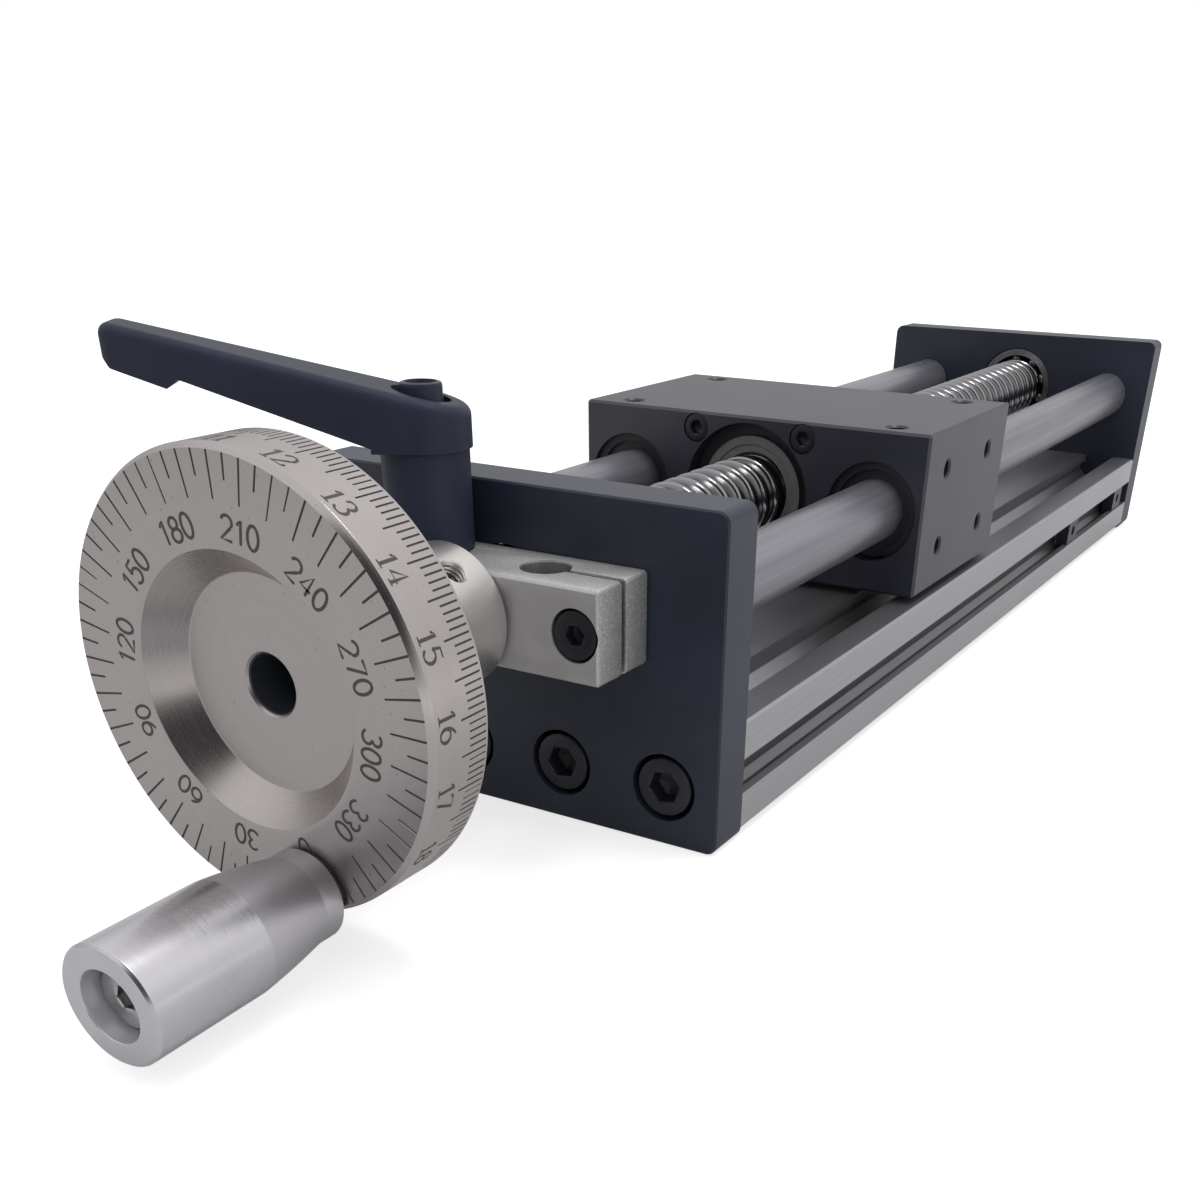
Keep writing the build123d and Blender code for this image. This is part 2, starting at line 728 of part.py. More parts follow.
# Clamp block: bore round the drive end, a keyhole slit to the right, clamping jaws to the left
block_bottom = axis_height - block_height / 2
with BuildPart() as shaft_clamp_block:
    with BuildSketch(facing_back(block_front)):
        with Locations((0, axis_height)):
            Rectangle(block_width, block_height)
    extrude(amount=block_thickness)
    chamfer(shaft_clamp_block.edges(), block_edge_break)
    with BuildSketch(facing_back(block_front)):
        with Locations((0, axis_height)):
            Circle(drive_end_radius + block_shaft_clearance)
        with Locations((block_width / 4, axis_height)):
            Rectangle(block_width / 2, jaw_slit)
    extrude(amount=block_thickness, mode=Mode.SUBTRACT)
    with BuildSketch(Plane.XY.offset(block_bottom)):
        with Locations((block_middle, -keyhole_offset)):
            Circle(keyhole_radius)
        with Locations((block_middle, -(keyhole_offset + block_width / 2) / 2)):
            Rectangle(keyhole_slit, block_width / 2 - keyhole_offset)
    extrude(amount=block_height, mode=Mode.SUBTRACT)
    with Locations(facing_front(block_front)):
        with Locations((block_screw_offset, axis_height)):
            CounterBoreHole(block_screw_hole_radius, block_counterbore_radius, block_counterbore_depth)
    with Locations(Plane.XY.offset(block_top)):
        with Locations((block_middle, lever_offset)):
            Hole(stud_radius + thread_clearance)
            Hole(stud_hole_radius, depth=block_height / 2)
write(shaft_clamp_block, "shaft_clamp_block")

# Screw that holds the block to the plate
block_screw_seat = facing_front(block_front + block_counterbore_depth)
with BuildPart() as clamp_block_screw:
    with BuildSketch(block_screw_seat):
        with Locations((block_screw_offset, axis_height)):
            Circle(block_screw_head_radius)
    extrude(amount=block_screw_head_height)
    with BuildSketch(block_screw_seat):
        with Locations((block_screw_offset, axis_height)):
            Circle(block_screw_radius)
    extrude(amount=block_counterbore_depth - block_thickness - block_screw_reach)
    with BuildSketch(block_screw_seat.offset(block_screw_head_height)):
        with Locations((block_screw_offset, axis_height)):
            RegularPolygon(block_screw_key / 2, 6, major_radius=False)
    extrude(amount=-block_screw_key_depth, mode=Mode.SUBTRACT)
write(clamp_block_screw, "clamp_block_screw")

# Clamping lever: stud with a toothed drum
stud_bottom = block_bottom + stud_end_gap
drum_bottom = block_top + drum_floor_gap
drum_top = drum_bottom + drum_height
lever_middle = (block_middle, lever_offset)


def toothed_ring(root_radius, tip_radius):
    """Corners of a ring of pointed teeth, root and tip in turn."""
    step = 180 / drum_teeth
    corners = []
    for index in range(2 * drum_teeth):
        radius = tip_radius if index % 2 else root_radius
        angle = radians(index * step)
        corners.append((radius * cos(angle), radius * sin(angle)))
    return corners


with BuildPart() as clamp_stud:
    with BuildSketch(Plane.XY.offset(stud_bottom)):
        with Locations(lever_middle):
            Circle(stud_radius)
    extrude(amount=drum_bottom - stud_bottom)
    with BuildSketch(Plane.XY.offset(drum_bottom)):
        with Locations(lever_middle):
            Polygon(*toothed_ring(drum_root_radius, drum_radius), align=None)
    extrude(amount=drum_height)
    with Locations(Plane.XY.offset(drum_top)):
        with Locations(lever_middle):
            Hole(lever_screw_radius + thread_clearance, depth=lever_screw_grip + thread_runout / 2)
write(clamp_stud, "clamp_stud")

# Lever: toothed sleeve on the drum, and an arm that rises to a rounded pad
lever_bottom = block_top + lever_floor_gap
sleeve_top = lever_bottom + sleeve_height
arm_top_height = lever_bottom + arm_top_rise
arm_root_height = lever_bottom + arm_root_rise
arm_pad_start = arm_reach - arm_pad_length
socket_top = drum_top + seat_clearance
recess_floor = socket_top + socket_roof
arm_plane = Plane(
    origin=(block_middle, lever_offset, 0),
    x_dir=(cos(radians(lever_heading)), sin(radians(lever_heading)), 0),
    z_dir=(sin(radians(lever_heading)), -cos(radians(lever_heading)), 0),
)
arm_plan = Plane(origin=(block_middle, lever_offset, sleeve_top - 1), x_dir=arm_plane.x_dir, z_dir=(0, 0, 1))
pad_bottom = arm_root_height + arm_bottom_slope * (arm_pad_start - arm_root_reach)
pad_ramp_end = arm_pad_start + arm_pad_ramp
pad_low = arm_root_height + arm_bottom_slope * (pad_ramp_end - arm_root_reach) - arm_pad_drop
beyond = arm_reach + 1
tip_cut_start = beyond - arm_tip_cut
tip_corner_side = arm_tip_width / 2 - arm_tip_corner_radius
with BuildPart() as lever_arm:
    with BuildSketch(arm_plane):
        with BuildLine():
            Polyline(
                (-hub_radius - 1, sleeve_top),
                (-hub_radius - 1, arm_top_height - arm_top_slope * (hub_radius + 1)),
                (beyond, arm_top_height + arm_top_slope * beyond),
                (beyond, pad_low + arm_bottom_slope * (beyond - pad_ramp_end) + arm_tip_cut),
                (tip_cut_start, pad_low + arm_bottom_slope * (tip_cut_start - pad_ramp_end)),
                (pad_ramp_end, pad_low),
                (arm_pad_start, pad_bottom),
                (arm_root_reach, arm_root_height),
                (arm_root_reach, sleeve_top),
                close=True,
            )
        make_face()
    extrude(amount=hub_radius + 1, both=True)
    with BuildSketch(arm_plan):
        Circle(hub_radius)
        tip_corner_reach = arm_reach - arm_tip_corner_radius
        with Locations((tip_corner_reach, -tip_corner_side), (tip_corner_reach, tip_corner_side)):
            Circle(arm_tip_corner_radius)
        make_hull()
    extrude(amount=plate_height, mode=Mode.INTERSECT)
    top_rim = lever_arm.faces().sort_by(lambda face: face.normal_at().Z)[-1].edges()
    fillet(top_rim, arm_top_round)
    with BuildSketch(Plane.XY.offset(lever_bottom)):
        with Locations(lever_middle):
            Circle(sleeve_radius)
    extrude(amount=sleeve_height)
    with BuildSketch(Plane.XY.offset(lever_bottom)):
        with Locations(lever_middle):
            Polygon(
                *toothed_ring(
                    drum_root_radius + drum_socket_clearance, drum_radius + drum_socket_clearance
                ),
                align=None,
            )
    extrude(amount=socket_top - lever_bottom, mode=Mode.SUBTRACT)
    with BuildSketch(Plane.XY.offset(recess_floor)):
        with Locations(lever_middle):
            Circle(button_recess_radius)
    extrude(amount=plate_height, mode=Mode.SUBTRACT)
    with Locations(Plane.XY.offset(recess_floor)):
        with Locations(lever_middle):
            Hole(lever_screw_hole_radius)
write(lever_arm, "lever_arm")

# Screw that holds the lever on the stud, with a wide round head
button_top = lever_bottom + button_top_rise
button_bottom = button_top - button_height
with BuildPart() as lever_screw:
    with BuildSketch(Plane.XY.offset(button_bottom)):
        with Locations(lever_middle):
            Circle(button_radius)
    extrude(amount=button_height)
    chamfer(lever_screw.edges().group_by(Axis.Z)[-1], button_edge_break)
    with BuildSketch(Plane.XY.offset(button_top)):
        with Locations(lever_middle):
            Circle(button_dish_radius)
    extrude(amount=-button_dish_depth, mode=Mode.SUBTRACT)
    with BuildSketch(Plane.XY.offset(button_top - button_dish_depth)):
        with Locations(lever_middle):
            RegularPolygon(button_key / 2, 6, major_radius=False)
    extrude(amount=-button_key_depth, mode=Mode.SUBTRACT)
    with BuildSketch(Plane.XY.offset(button_bottom)):
        with Locations(lever_middle):
            Circle(lever_screw_radius)
    extrude(amount=-(button_bottom - drum_top + lever_screw_grip))
write(lever_screw, "lever_screw")

# Spring between the lever's shoulder and the head of its screw
spring_bottom = recess_floor + spring_seat_gap + spring_wire_radius
spring_top = button_bottom - spring_seat_gap - spring_wire_radius
spring_height = spring_top - spring_bottom
with BuildPart() as lever_spring:
    with BuildLine():
        spring_line = Helix(
            pitch=spring_height / spring_turns,
            height=spring_height,
            radius=spring_radius,
            center=(block_middle, lever_offset, spring_bottom),
        )
    with BuildSketch(Plane(origin=spring_line @ 0, z_dir=spring_line % 0)):
        Circle(spring_wire_radius)
    sweep(path=spring_line, is_frenet=True)
write(lever_spring, "lever_spring")

# Handwheel: rim and bevelled face, cone-shaped recess, long hub with its bore
wheel_bore_radius = drive_end_radius + seat_clearance
with BuildPart() as handwheel:
    with BuildSketch(along_axis(0, axis_height)) as wheel_section:
        with BuildLine():
            Polyline(
                (wheel_floor, wheel_bore_radius + bore_bevel),
                (wheel_floor, cone_floor_radius),
                (wheel_front, cone_mouth_radius),
                (wheel_front, wheel_face_radius),
                (wheel_front + wheel_face_bevel, wheel_radius),
                (wheel_back - wheel_back_bevel, wheel_radius),
                (wheel_back, wheel_radius - wheel_back_bevel),
                (wheel_back, hub_outer_radius),
                (hub_back - hub_end_bevel, hub_outer_radius),
                (hub_back, hub_outer_radius - hub_end_bevel),
                (hub_back, wheel_bore_radius),
                (wheel_floor + bore_bevel, wheel_bore_radius),
                close=True,
            )
        make_face()
        hub_root = (wheel_back, 0, axis_height + hub_outer_radius)
        fillet(wheel_section.vertices().sort_by_distance(hub_root)[0], hub_root_fillet)
    revolve(axis=screw_axis)
    for angle in (set_screw_angle, set_screw_angle - set_screw_spread):
        set_screw_plane = Plane(
            origin=(hub_back - set_screw_setback, 0, axis_height),
            x_dir=(1, 0, 0),
            z_dir=(0, cos(radians(angle)), sin(radians(angle))),
        )
        with BuildSketch(set_screw_plane):
            Circle(set_screw_radius + thread_clearance)
        extrude(amount=hub_outer_radius + 1, mode=Mode.SUBTRACT)
    grip_y = grip_orbit_radius * cos(radians(grip_angle))
    grip_z = axis_height + grip_orbit_radius * sin(radians(grip_angle))
    with BuildSketch(facing_back(wheel_front)):
        with Locations((grip_y, grip_z)):
            Circle(pin_thread_radius + thread_clearance)
    extrude(amount=pin_thread_length + thread_runout / 2, mode=Mode.SUBTRACT)
write(handwheel, "handwheel")

# Set screws in the hub, seated on the drive end
set_screw_length = hub_outer_radius - set_screw_sink - drive_end_radius - seat_clearance
with BuildPart() as hub_set_screws:
    for angle in (set_screw_angle, set_screw_angle - set_screw_spread):
        set_screw_plane = Plane(
            origin=(hub_back - set_screw_setback, 0, axis_height),
            x_dir=(1, 0, 0),
            z_dir=(0, cos(radians(angle)), sin(radians(angle))),
        )
        with BuildSketch(set_screw_plane.offset(drive_end_radius + seat_clearance)):
            Circle(set_screw_radius)
        extrude(amount=set_screw_length)
        with BuildSketch(set_screw_plane.offset(hub_outer_radius - set_screw_sink)):
            RegularPolygon(set_screw_key / 2, 6, major_radius=False)
        extrude(amount=-set_screw_key_depth, mode=Mode.SUBTRACT)
write(hub_set_screws, "hub_set_screws")

# Shoulder pin of the grip, screwed into the wheel, and the washer at its foot
grip_axis = Axis((0, grip_y, grip_z), (1, 0, 0))
grip_back = wheel_front - washer_thickness - grip_end_gap
grip_front = grip_back - grip_length
pin_seat = grip_front + grip_counterbore_depth - pin_head_gap
with BuildPart() as grip_pin:
    with BuildSketch(along_axis(grip_y, grip_z)):
        with BuildLine():
            Polyline(
                (pin_seat - pin_head_height, 0),
                (pin_seat - pin_head_height, pin_head_radius),
                (pin_seat, pin_head_radius),
                (pin_seat, pin_radius),
                (wheel_front, pin_radius),
                (wheel_front, pin_thread_radius),
                (wheel_front + pin_thread_length, pin_thread_radius),
                (wheel_front + pin_thread_length, 0),
                close=True,
            )
        make_face()
    revolve(axis=grip_axis)
    with BuildSketch(facing_front(pin_seat - pin_head_height)):
        with Locations((-grip_y, grip_z)):
            RegularPolygon(pin_key / 2, 6, major_radius=False)
    extrude(amount=-pin_key_depth, mode=Mode.SUBTRACT)
write(grip_pin, "grip_pin")

with BuildPart() as grip_washer:
    with BuildSketch(facing_front(wheel_front)):
        with Locations((-grip_y, grip_z)):
            Circle(washer_radius)
            Circle(pin_radius + thread_clearance, mode=Mode.SUBTRACT)
    extrude(amount=washer_thickness)
write(grip_washer, "grip_washer")

# Grip: turned outline that narrows to a waist beside the wheel
grip_bore_radius = pin_radius + grip_bore_clearance
straight_end = grip_front + grip_straight_length
waist_start = grip_back - grip_waist_length
with BuildPart() as crank_grip:
    with BuildSketch(along_axis(grip_y, grip_z)):
        with BuildLine():
            Polyline(
                (straight_end, grip_radius),
                (grip_front + grip_end_bevel, grip_radius),
                (grip_front, grip_radius - grip_end_bevel),
                (grip_front, grip_counterbore_radius),
                (grip_front + grip_counterbore_depth, grip_counterbore_radius),
                (grip_front + grip_counterbore_depth, grip_bore_radius),
                (grip_back, grip_bore_radius),
                (grip_back, grip_waist_radius - grip_end_bevel),
                (grip_back - grip_end_bevel, grip_waist_radius),
                (waist_start, grip_waist_radius),
            )
            Spline(
                (waist_start, grip_waist_radius),
                (grip_front + grip_middle_place, grip_middle_radius),
                (straight_end, grip_radius),
                tangents=[(-1, 0), (-1, 0)],
            )
        make_face()
    revolve(axis=grip_axis)
write(crank_grip, "crank_grip")

# Slot nuts in the right-hand side slot, held behind its lips
nut_chamber = side_slot_chamber - 2 * slot_nut_clearance
nut_mouth = side_slot_mouth - 2 * slot_nut_clearance
slot_floor = base_width / 2 - side_slot_depth
nut_face = base_width / 2 - slot_nut_sink
lip_inner = base_width / 2 - side_slot_lip - slot_nut_clearance
with BuildPart() as slot_nuts:
    for end_distance in slot_nut_end_distances:
        place = rear_plate_front - end_distance
        with BuildSketch(facing_back(place - slot_nut_length / 2)):
            with Locations((-(lip_inner + slot_floor + side_slot_bevel) / 2, base_middle_height)):
                Rectangle(lip_inner - slot_floor - side_slot_bevel, nut_chamber)
            with Locations((-(nut_face + slot_floor + side_slot_bevel) / 2, base_middle_height)):
                Rectangle(nut_face - slot_floor - side_slot_bevel, nut_mouth)
        extrude(amount=slot_nut_length)
        nut_plane = Plane(
            origin=(place, -nut_face, base_middle_height), x_dir=(1, 0, 0), z_dir=(0, -1, 0)
        )
        with Locations(nut_plane):
            Hole(slot_nut_hole_radius, depth=nut_face - slot_floor - side_slot_bevel)
write(slot_nuts, "slot_nuts")
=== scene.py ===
import bmesh
import bpy
import json
import numpy as np
from math import cos, pi, radians, sin
from mathutils import Matrix, Vector


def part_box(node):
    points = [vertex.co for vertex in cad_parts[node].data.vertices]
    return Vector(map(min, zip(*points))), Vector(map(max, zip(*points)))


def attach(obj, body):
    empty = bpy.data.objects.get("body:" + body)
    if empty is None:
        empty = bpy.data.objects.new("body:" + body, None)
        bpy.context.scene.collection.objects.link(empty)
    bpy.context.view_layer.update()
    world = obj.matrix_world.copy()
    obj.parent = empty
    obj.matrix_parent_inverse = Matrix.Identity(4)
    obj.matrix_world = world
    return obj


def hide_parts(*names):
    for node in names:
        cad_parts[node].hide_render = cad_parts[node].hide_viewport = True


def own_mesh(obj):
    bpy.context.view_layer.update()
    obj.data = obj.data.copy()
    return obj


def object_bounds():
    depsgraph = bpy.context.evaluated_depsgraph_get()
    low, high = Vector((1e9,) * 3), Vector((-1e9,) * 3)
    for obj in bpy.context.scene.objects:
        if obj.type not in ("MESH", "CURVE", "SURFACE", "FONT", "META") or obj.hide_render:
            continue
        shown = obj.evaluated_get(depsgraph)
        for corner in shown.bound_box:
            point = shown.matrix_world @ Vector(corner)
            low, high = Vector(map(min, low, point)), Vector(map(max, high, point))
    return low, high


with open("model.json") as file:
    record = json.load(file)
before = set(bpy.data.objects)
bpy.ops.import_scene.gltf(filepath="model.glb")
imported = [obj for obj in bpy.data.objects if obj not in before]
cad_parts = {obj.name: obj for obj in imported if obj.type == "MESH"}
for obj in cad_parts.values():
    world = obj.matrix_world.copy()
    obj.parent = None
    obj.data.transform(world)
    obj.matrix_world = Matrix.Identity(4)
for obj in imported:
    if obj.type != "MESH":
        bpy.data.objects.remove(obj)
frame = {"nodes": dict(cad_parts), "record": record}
cadLow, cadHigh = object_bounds()
nodes = frame["nodes"]
mm = 0.001
print("frame loaded:", len(nodes), "nodes")


# Where the CAD model says things are, in metres
def span(name):
    low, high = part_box(name)
    return np.array(low), np.array(high)


screwLow, screwHigh = span("ball_screw")
wheelLow, wheelHigh = span("handwheel")
gripLow, gripHigh = span("crank_grip")
blockLow, blockHigh = span("shaft_clamp_block")
plateLow, plateHigh = span("front_end_plate")
rearLow = span("rear_end_plate")[0]
carriageLow = span("carriage_block")[0]
baseLow, baseHigh = span("base_extrusion")
buttonLow, buttonHigh = span("lever_screw")
axisHeight = (screwLow[2] + screwHigh[2]) / 2
wheelRadius = (wheelHigh[2] - wheelLow[2]) / 2
gripCentre = (gripLow + gripHigh) / 2
buttonCentre = (buttonLow + buttonHigh) / 2
screwAxis = (0.0, 0.0, axisHeight)


# Shader values: a wire is one output socket, and sums, products and powers of wires add Math nodes
class Wire:
    def __init__(self, tree, socket):
        self.tree = tree
        self.socket = socket

    def math(self, operation, *others):
        return addNode(self.tree, "ShaderNodeMath", {"operation": operation}, self, *others)[0]

    def __add__(self, other):
        return self.math("ADD", other)

    __radd__ = __add__

    def __sub__(self, other):
        return self.math("SUBTRACT", other)

    def __rsub__(self, other):
        return addNode(self.tree, "ShaderNodeMath", {"operation": "SUBTRACT"}, other, self)[0]

    def __mul__(self, other):
        return self.math("MULTIPLY", other)

    __rmul__ = __mul__

    def __pow__(self, other):
        return self.math("POWER", other)

    def __gt__(self, other):
        return self.math("GREATER_THAN", other)

    def __lt__(self, other):
        return self.math("LESS_THAN", other)

    def sine(self):
        return self.math("SINE")

    def away(self):
        return self.math("ABSOLUTE")

    # 1 between low and high, else 0
    def within(self, low, high):
        return (self > low) * (self < high)

    # rises smoothly from 0 at low to 1 at high
    def ramp(self, low, high):
        return addNode(
            self.tree, "ShaderNodeMapRange", {"interpolation_type": "SMOOTHSTEP"}, self, low, high, 0.0, 1.0
        )[0]


# Links a wire to a socket, or sets the socket's own value
def plug(socket, value):
    if isinstance(value, Wire):
        value.tree.links.new(value.socket, socket)
    else:
        socket.default_value = (*value, 1.0) if socket.type == "RGBA" else value


# Adds one node: its settings first, then the values or wires of its sockets, in order or by name
def addNode(tree, kind, settings=None, *values, **named):
    node = tree.nodes.new(kind)
    for key, value in (settings or {}).items():
        setattr(node, key, value)
    for socket, value in [*zip(node.inputs, values), *((node.inputs[key], named[key]) for key in named)]:
        plug(socket, value)
    return [Wire(tree, socket) for socket in node.outputs]


# Cloudy noise from 0 to 1; size is that of its grain in metres, along all axes or along each
def noise(tree, place, size, detail=2.0, roughness=0.5):
    size = (size, size, size) if isinstance(size, float) else size
    scaled = addNode(tree, "ShaderNodeVectorMath", {"operation": "DIVIDE"}, place, size)[0]
    return addNode(
        tree, "ShaderNodeTexNoise", {}, Vector=scaled, Scale=1.0, Detail=detail, Roughness=roughness
    )[0]


# Numbers of sockets in nodes that have several: a colour Mix, Texture Coordinate and Light Path
mixSockets = {"factor": 0, "first": 6, "second": 7, "result": 2}
coordinates = {"generated": 0, "object": 3}
rayKinds = {"camera": 0, "glossy": 3, "transmission": 6}


# Mixes two colours by a factor wire
def blendColour(tree, factor, first, second):
    node = tree.nodes.new("ShaderNodeMix")
    node.data_type = "RGBA"
    for name, value in (("factor", factor), ("first", first), ("second", second)):
        plug(node.inputs[mixSockets[name]], value)
    return Wire(tree, node.outputs[mixSockets["result"]])


# The three parts of a place or direction
def parts(tree, place):
    return addNode(tree, "ShaderNodeSeparateXYZ", {}, place)


# Starts a material; gives its tree and object coordinates
def startFinish(name):
    material = bpy.data.materials.new(name)
    material.use_nodes = True
    tree = material.node_tree
    return material, tree, addNode(tree, "ShaderNodeTexCoord")[coordinates["object"]]


# Ends a material: the shader's constants, and the wires that vary over the surface
def endFinish(material, colour, roughness, metallic=0.0, height=None, depth=0.0, specular=0.5):
    tree = material.node_tree
    shader = tree.nodes["Principled BSDF"]
    values = {"Base Color": colour, "Roughness": roughness, "Metallic": metallic}
    values["Specular IOR Level"] = specular
    if height is not None:
        values["Normal"] = addNode(tree, "ShaderNodeBump", {}, Strength=1.0, Distance=depth, Height=height)[0]
    for name, value in values.items():
        plug(shader.inputs[name], value)
    return material


# Puts an object into the scene
def newObject(name, data):
    made = bpy.data.objects.new(name, data)
    bpy.context.scene.collection.objects.link(made)
    return made


# Numbers of the corner points of a grid's quads; rows run along the first parameter
def gridQuads(rows, columns, closedRows, closedColumns, start):
    rowCount = rows if closedRows else rows - 1
    columnCount = columns if closedColumns else columns - 1
    row = np.arange(rowCount)[:, None]
    column = np.arange(columnCount)[None, :]
    nextRow = (row + 1) % rows
    nextColumn = (column + 1) % columns
    edges = ((row, column), (nextRow, column), (nextRow, nextColumn), (row, nextColumn))
    corners = [line * columns + place for line, place in edges]
    return start + np.stack([np.broadcast_to(c, (rowCount, columnCount)) for c in corners], -1).reshape(-1, 4)


# Makes an object from grids of points, in its slot's finish unless materials are given
def makePiece(name, grids, body, slot, replaced=None, sharp=32.0, materials=None, paint=None):
    points = np.concatenate([grid.reshape(-1, 3) for grid, _, _ in grids])
    quads = []
    start = 0
    for grid, closedRows, closedColumns in grids:
        quads.append(gridQuads(grid.shape[0], grid.shape[1], closedRows, closedColumns, start))
        start += grid.shape[0] * grid.shape[1]
    quads = np.concatenate(quads)
    mesh = bpy.data.meshes.new(name)
    mesh.from_pydata(points.tolist(), [], quads.tolist())
    for material in materials or [finishes[slot]]:
        mesh.materials.append(material)
    if paint is not None:
        mesh.polygons.foreach_set("material_index", paint.astype(np.int32))
    placeMesh(name, mesh, body, sharp, replaced)


# Welds doubled points, points faces outwards, smooths all but sharp edges, and rides the body
def placeMesh(name, mesh, body, sharp, replaced=None):
    work = bmesh.new()
    work.from_mesh(mesh)
    bmesh.ops.remove_doubles(work, verts=work.verts, dist=1e-7)
    bmesh.ops.recalc_face_normals(work, faces=work.faces)
    work.to_mesh(mesh)
    work.free()
    mesh.polygons.foreach_set("use_smooth", np.ones(len(mesh.polygons), bool))
    mesh.set_sharp_from_angle(angle=radians(sharp))
    mesh.update()
    piece = newObject(name, mesh)
    if replaced:
        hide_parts(replaced)
    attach(piece, body)
    return piece


# How much of a side an arc may take up
cornerReach = 0.48


# Replaces each inner corner of a profile by an arc tangent to both its sides
def rounded(corners, radii, steps=4):
    corners = np.array(corners, float)
    radii = np.broadcast_to(radii, len(corners))
    points = [corners[0]]
    for index in range(1, len(corners) - 1):
        here, radius = corners[index], radii[index]
        if radius <= 0:
            points.append(here)
            continue
        before, after = corners[index - 1] - here, corners[index + 1] - here
        beforeLength, afterLength = np.linalg.norm(before), np.linalg.norm(after)
        before, after = before / beforeLength, after / afterLength
        halfAngle = np.arccos(np.clip(before @ after, -1, 1)) / 2
        reach = min(radius / np.tan(halfAngle), cornerReach * beforeLength, cornerReach * afterLength)
        radius = reach * np.tan(halfAngle)
        middle = before + after
        middle = here + middle / np.linalg.norm(middle) * radius / np.sin(halfAngle)
        first, last = here + before * reach - middle, here + after * reach - middle
        for share in np.linspace(0, 1, steps + 1):
            arm = first * (1 - share) + last * share
            points.append(middle + arm / np.linalg.norm(arm) * radius)
    return np.array([*points, corners[-1]])


def evenAngles(count):
    return np.arange(count) * 2 * pi / count


# A profile of (along x, radius) carried round the line through centre: the point turns by theta about it
def turned(profile, centre, theta):
    profile = np.array(profile, float)
    along = np.repeat(profile[:, :1], len(theta), 1)
    across = profile[:, 1:] * np.cos(theta)
    upward = profile[:, 1:] * np.sin(theta)
    return np.stack([centre[0] + along, centre[1] + across, centre[2] + upward], -1)


# Finishes: a size is that of the noise's grain, and a spread says how far the noise moves the roughness
relief = 0.02 * mm


# Darker and lighter shades of a colour
def shades(tint, dark, light):
    return [tuple(share * part for part in tint) for share in (dark, light)]


# Clouds of two colours, which move the roughness too
def mattFinish(name, size, detail, dark, light, roughness, spread, metallic=0.0):
    material, tree, place = startFinish(name)
    cloud = noise(tree, place, size, detail)
    colour = blendColour(tree, cloud, dark, light)
    return endFinish(material, colour, roughness + (cloud - 0.5) * spread, metallic, cloud, relief)


def blackOxide(name):
    return mattFinish(name, 2.0 * mm, 3.0, (0.010, 0.012, 0.017), (0.020, 0.022, 0.028), 0.38, 0.16, 0.1)


def sealRubber(name):
    return mattFinish(name, 1.0 * mm, 2.0, *shades((0.015, 0.016, 0.020), 0.75, 1.25), 0.55, 0.1)


anodising = {
    "cloud": 18.0 * mm, "grain": 0.25 * mm, "spread": 0.12, "speck": 1.1 * mm,
    "speckLevels": (0.84, 0.86), "speckShare": 0.11, "speckColour": (0.10, 0.10, 0.11),
}


def blackAnodised(name, tint, roughness, specular):
    material, tree, place = startFinish(name)
    cloud = noise(tree, place, anodising["cloud"], 3.0).ramp(0.3, 0.7)
    fine = noise(tree, place, anodising["grain"], 3.0, 0.6)
    specks = noise(tree, place, anodising["speck"], 0.0).ramp(*anodising["speckLevels"])
    colour = blendColour(tree, cloud, *shades(tint, 0.85, 1.2))
    colour = blendColour(tree, specks * anodising["speckShare"], colour, anodising["speckColour"])
    rough = roughness + (fine - 0.5) * anodising["spread"]
    return endFinish(material, colour, rough, 0.0, fine, relief, specular)


profileSkin = {
    "dieLines": (900.0 * mm, 0.35 * mm, 0.35 * mm),  # drawn out along the base
    "cloud": (30.0 * mm, 12.0 * mm, 12.0 * mm), "grain": 0.12 * mm,
    "tones": ((0.395, 0.390, 0.413), (0.440, 0.435, 0.458)), "roughness": 0.36, "metallic": 0.85,
    "slotShadeColour": (0.17, 0.168, 0.18), "slotShadeShare": 0.8,
    "slotDepths": (5.0 * mm, 2.5 * mm),  # of the floors with painted shade, from the side faces
    "slotMargin": 3.0 * mm,  # from the base's top and bottom
}


def clearAnodised():
    skin = profileSkin
    material, tree, place = startFinish("clearAnodised")
    _, y, z = parts(tree, place)
    dieLines = noise(tree, place, skin["dieLines"], 3.0, 0.65)
    cloud = noise(tree, place, skin["cloud"])
    grain = noise(tree, place, skin["grain"], 1.0)
    colour = blendColour(tree, dieLines.ramp(0.3, 0.7), *skin["tones"])
    # Painted shade: the floors of the side slots are darkened, where less light reaches
    slotShadeMask = y.away().within(*(baseHigh[1] - depth for depth in skin["slotDepths"]))
    slotShadeMask = slotShadeMask * z.within(baseLow[2] + skin["slotMargin"], baseHigh[2] - skin["slotMargin"])
    colour = blendColour(tree, slotShadeMask * skin["slotShadeShare"], colour, skin["slotShadeColour"])
    rough = skin["roughness"] + (cloud - 0.5) * 0.16 + (grain - 0.5) * 0.10
    return endFinish(material, colour, rough, skin["metallic"], dieLines * 0.7 + grain * 0.3, relief)


rodSkin = {
    "rings": (0.4 * mm, 20.0 * mm, 20.0 * mm), "cloud": (50.0 * mm, 6.0 * mm, 6.0 * mm),
    "streak": (200.0 * mm, 1.2 * mm, 1.2 * mm), "tones": ((0.150, 0.147, 0.172), (0.305, 0.300, 0.340)),
    "roughness": 0.31, "metallic": 0.55, "relief": 0.005 * mm,
}


def groundRod():
    skin = rodSkin
    material, tree, place = startFinish("groundRod")
    rings, cloud, streak = (noise(tree, place, skin[key]) for key in ("rings", "cloud", "streak"))
    colour = blendColour(tree, (cloud * 0.5 + streak * 0.5).ramp(0.15, 0.85), *skin["tones"])
    rough = skin["roughness"] + (cloud - 0.5) * 0.12 + (rings - 0.5) * 0.10
    return endFinish(material, colour, rough, skin["metallic"], rings, skin["relief"])


threadSkin = {
    # The root colour is painted shade in the thread's groove
    "cloud": 4.0 * mm, "crest": (0.30, 0.292, 0.305), "root": (0.055, 0.053, 0.055), "roughness": 0.13,
    "rootRough": 0.14, "relief": 0.01 * mm,
}
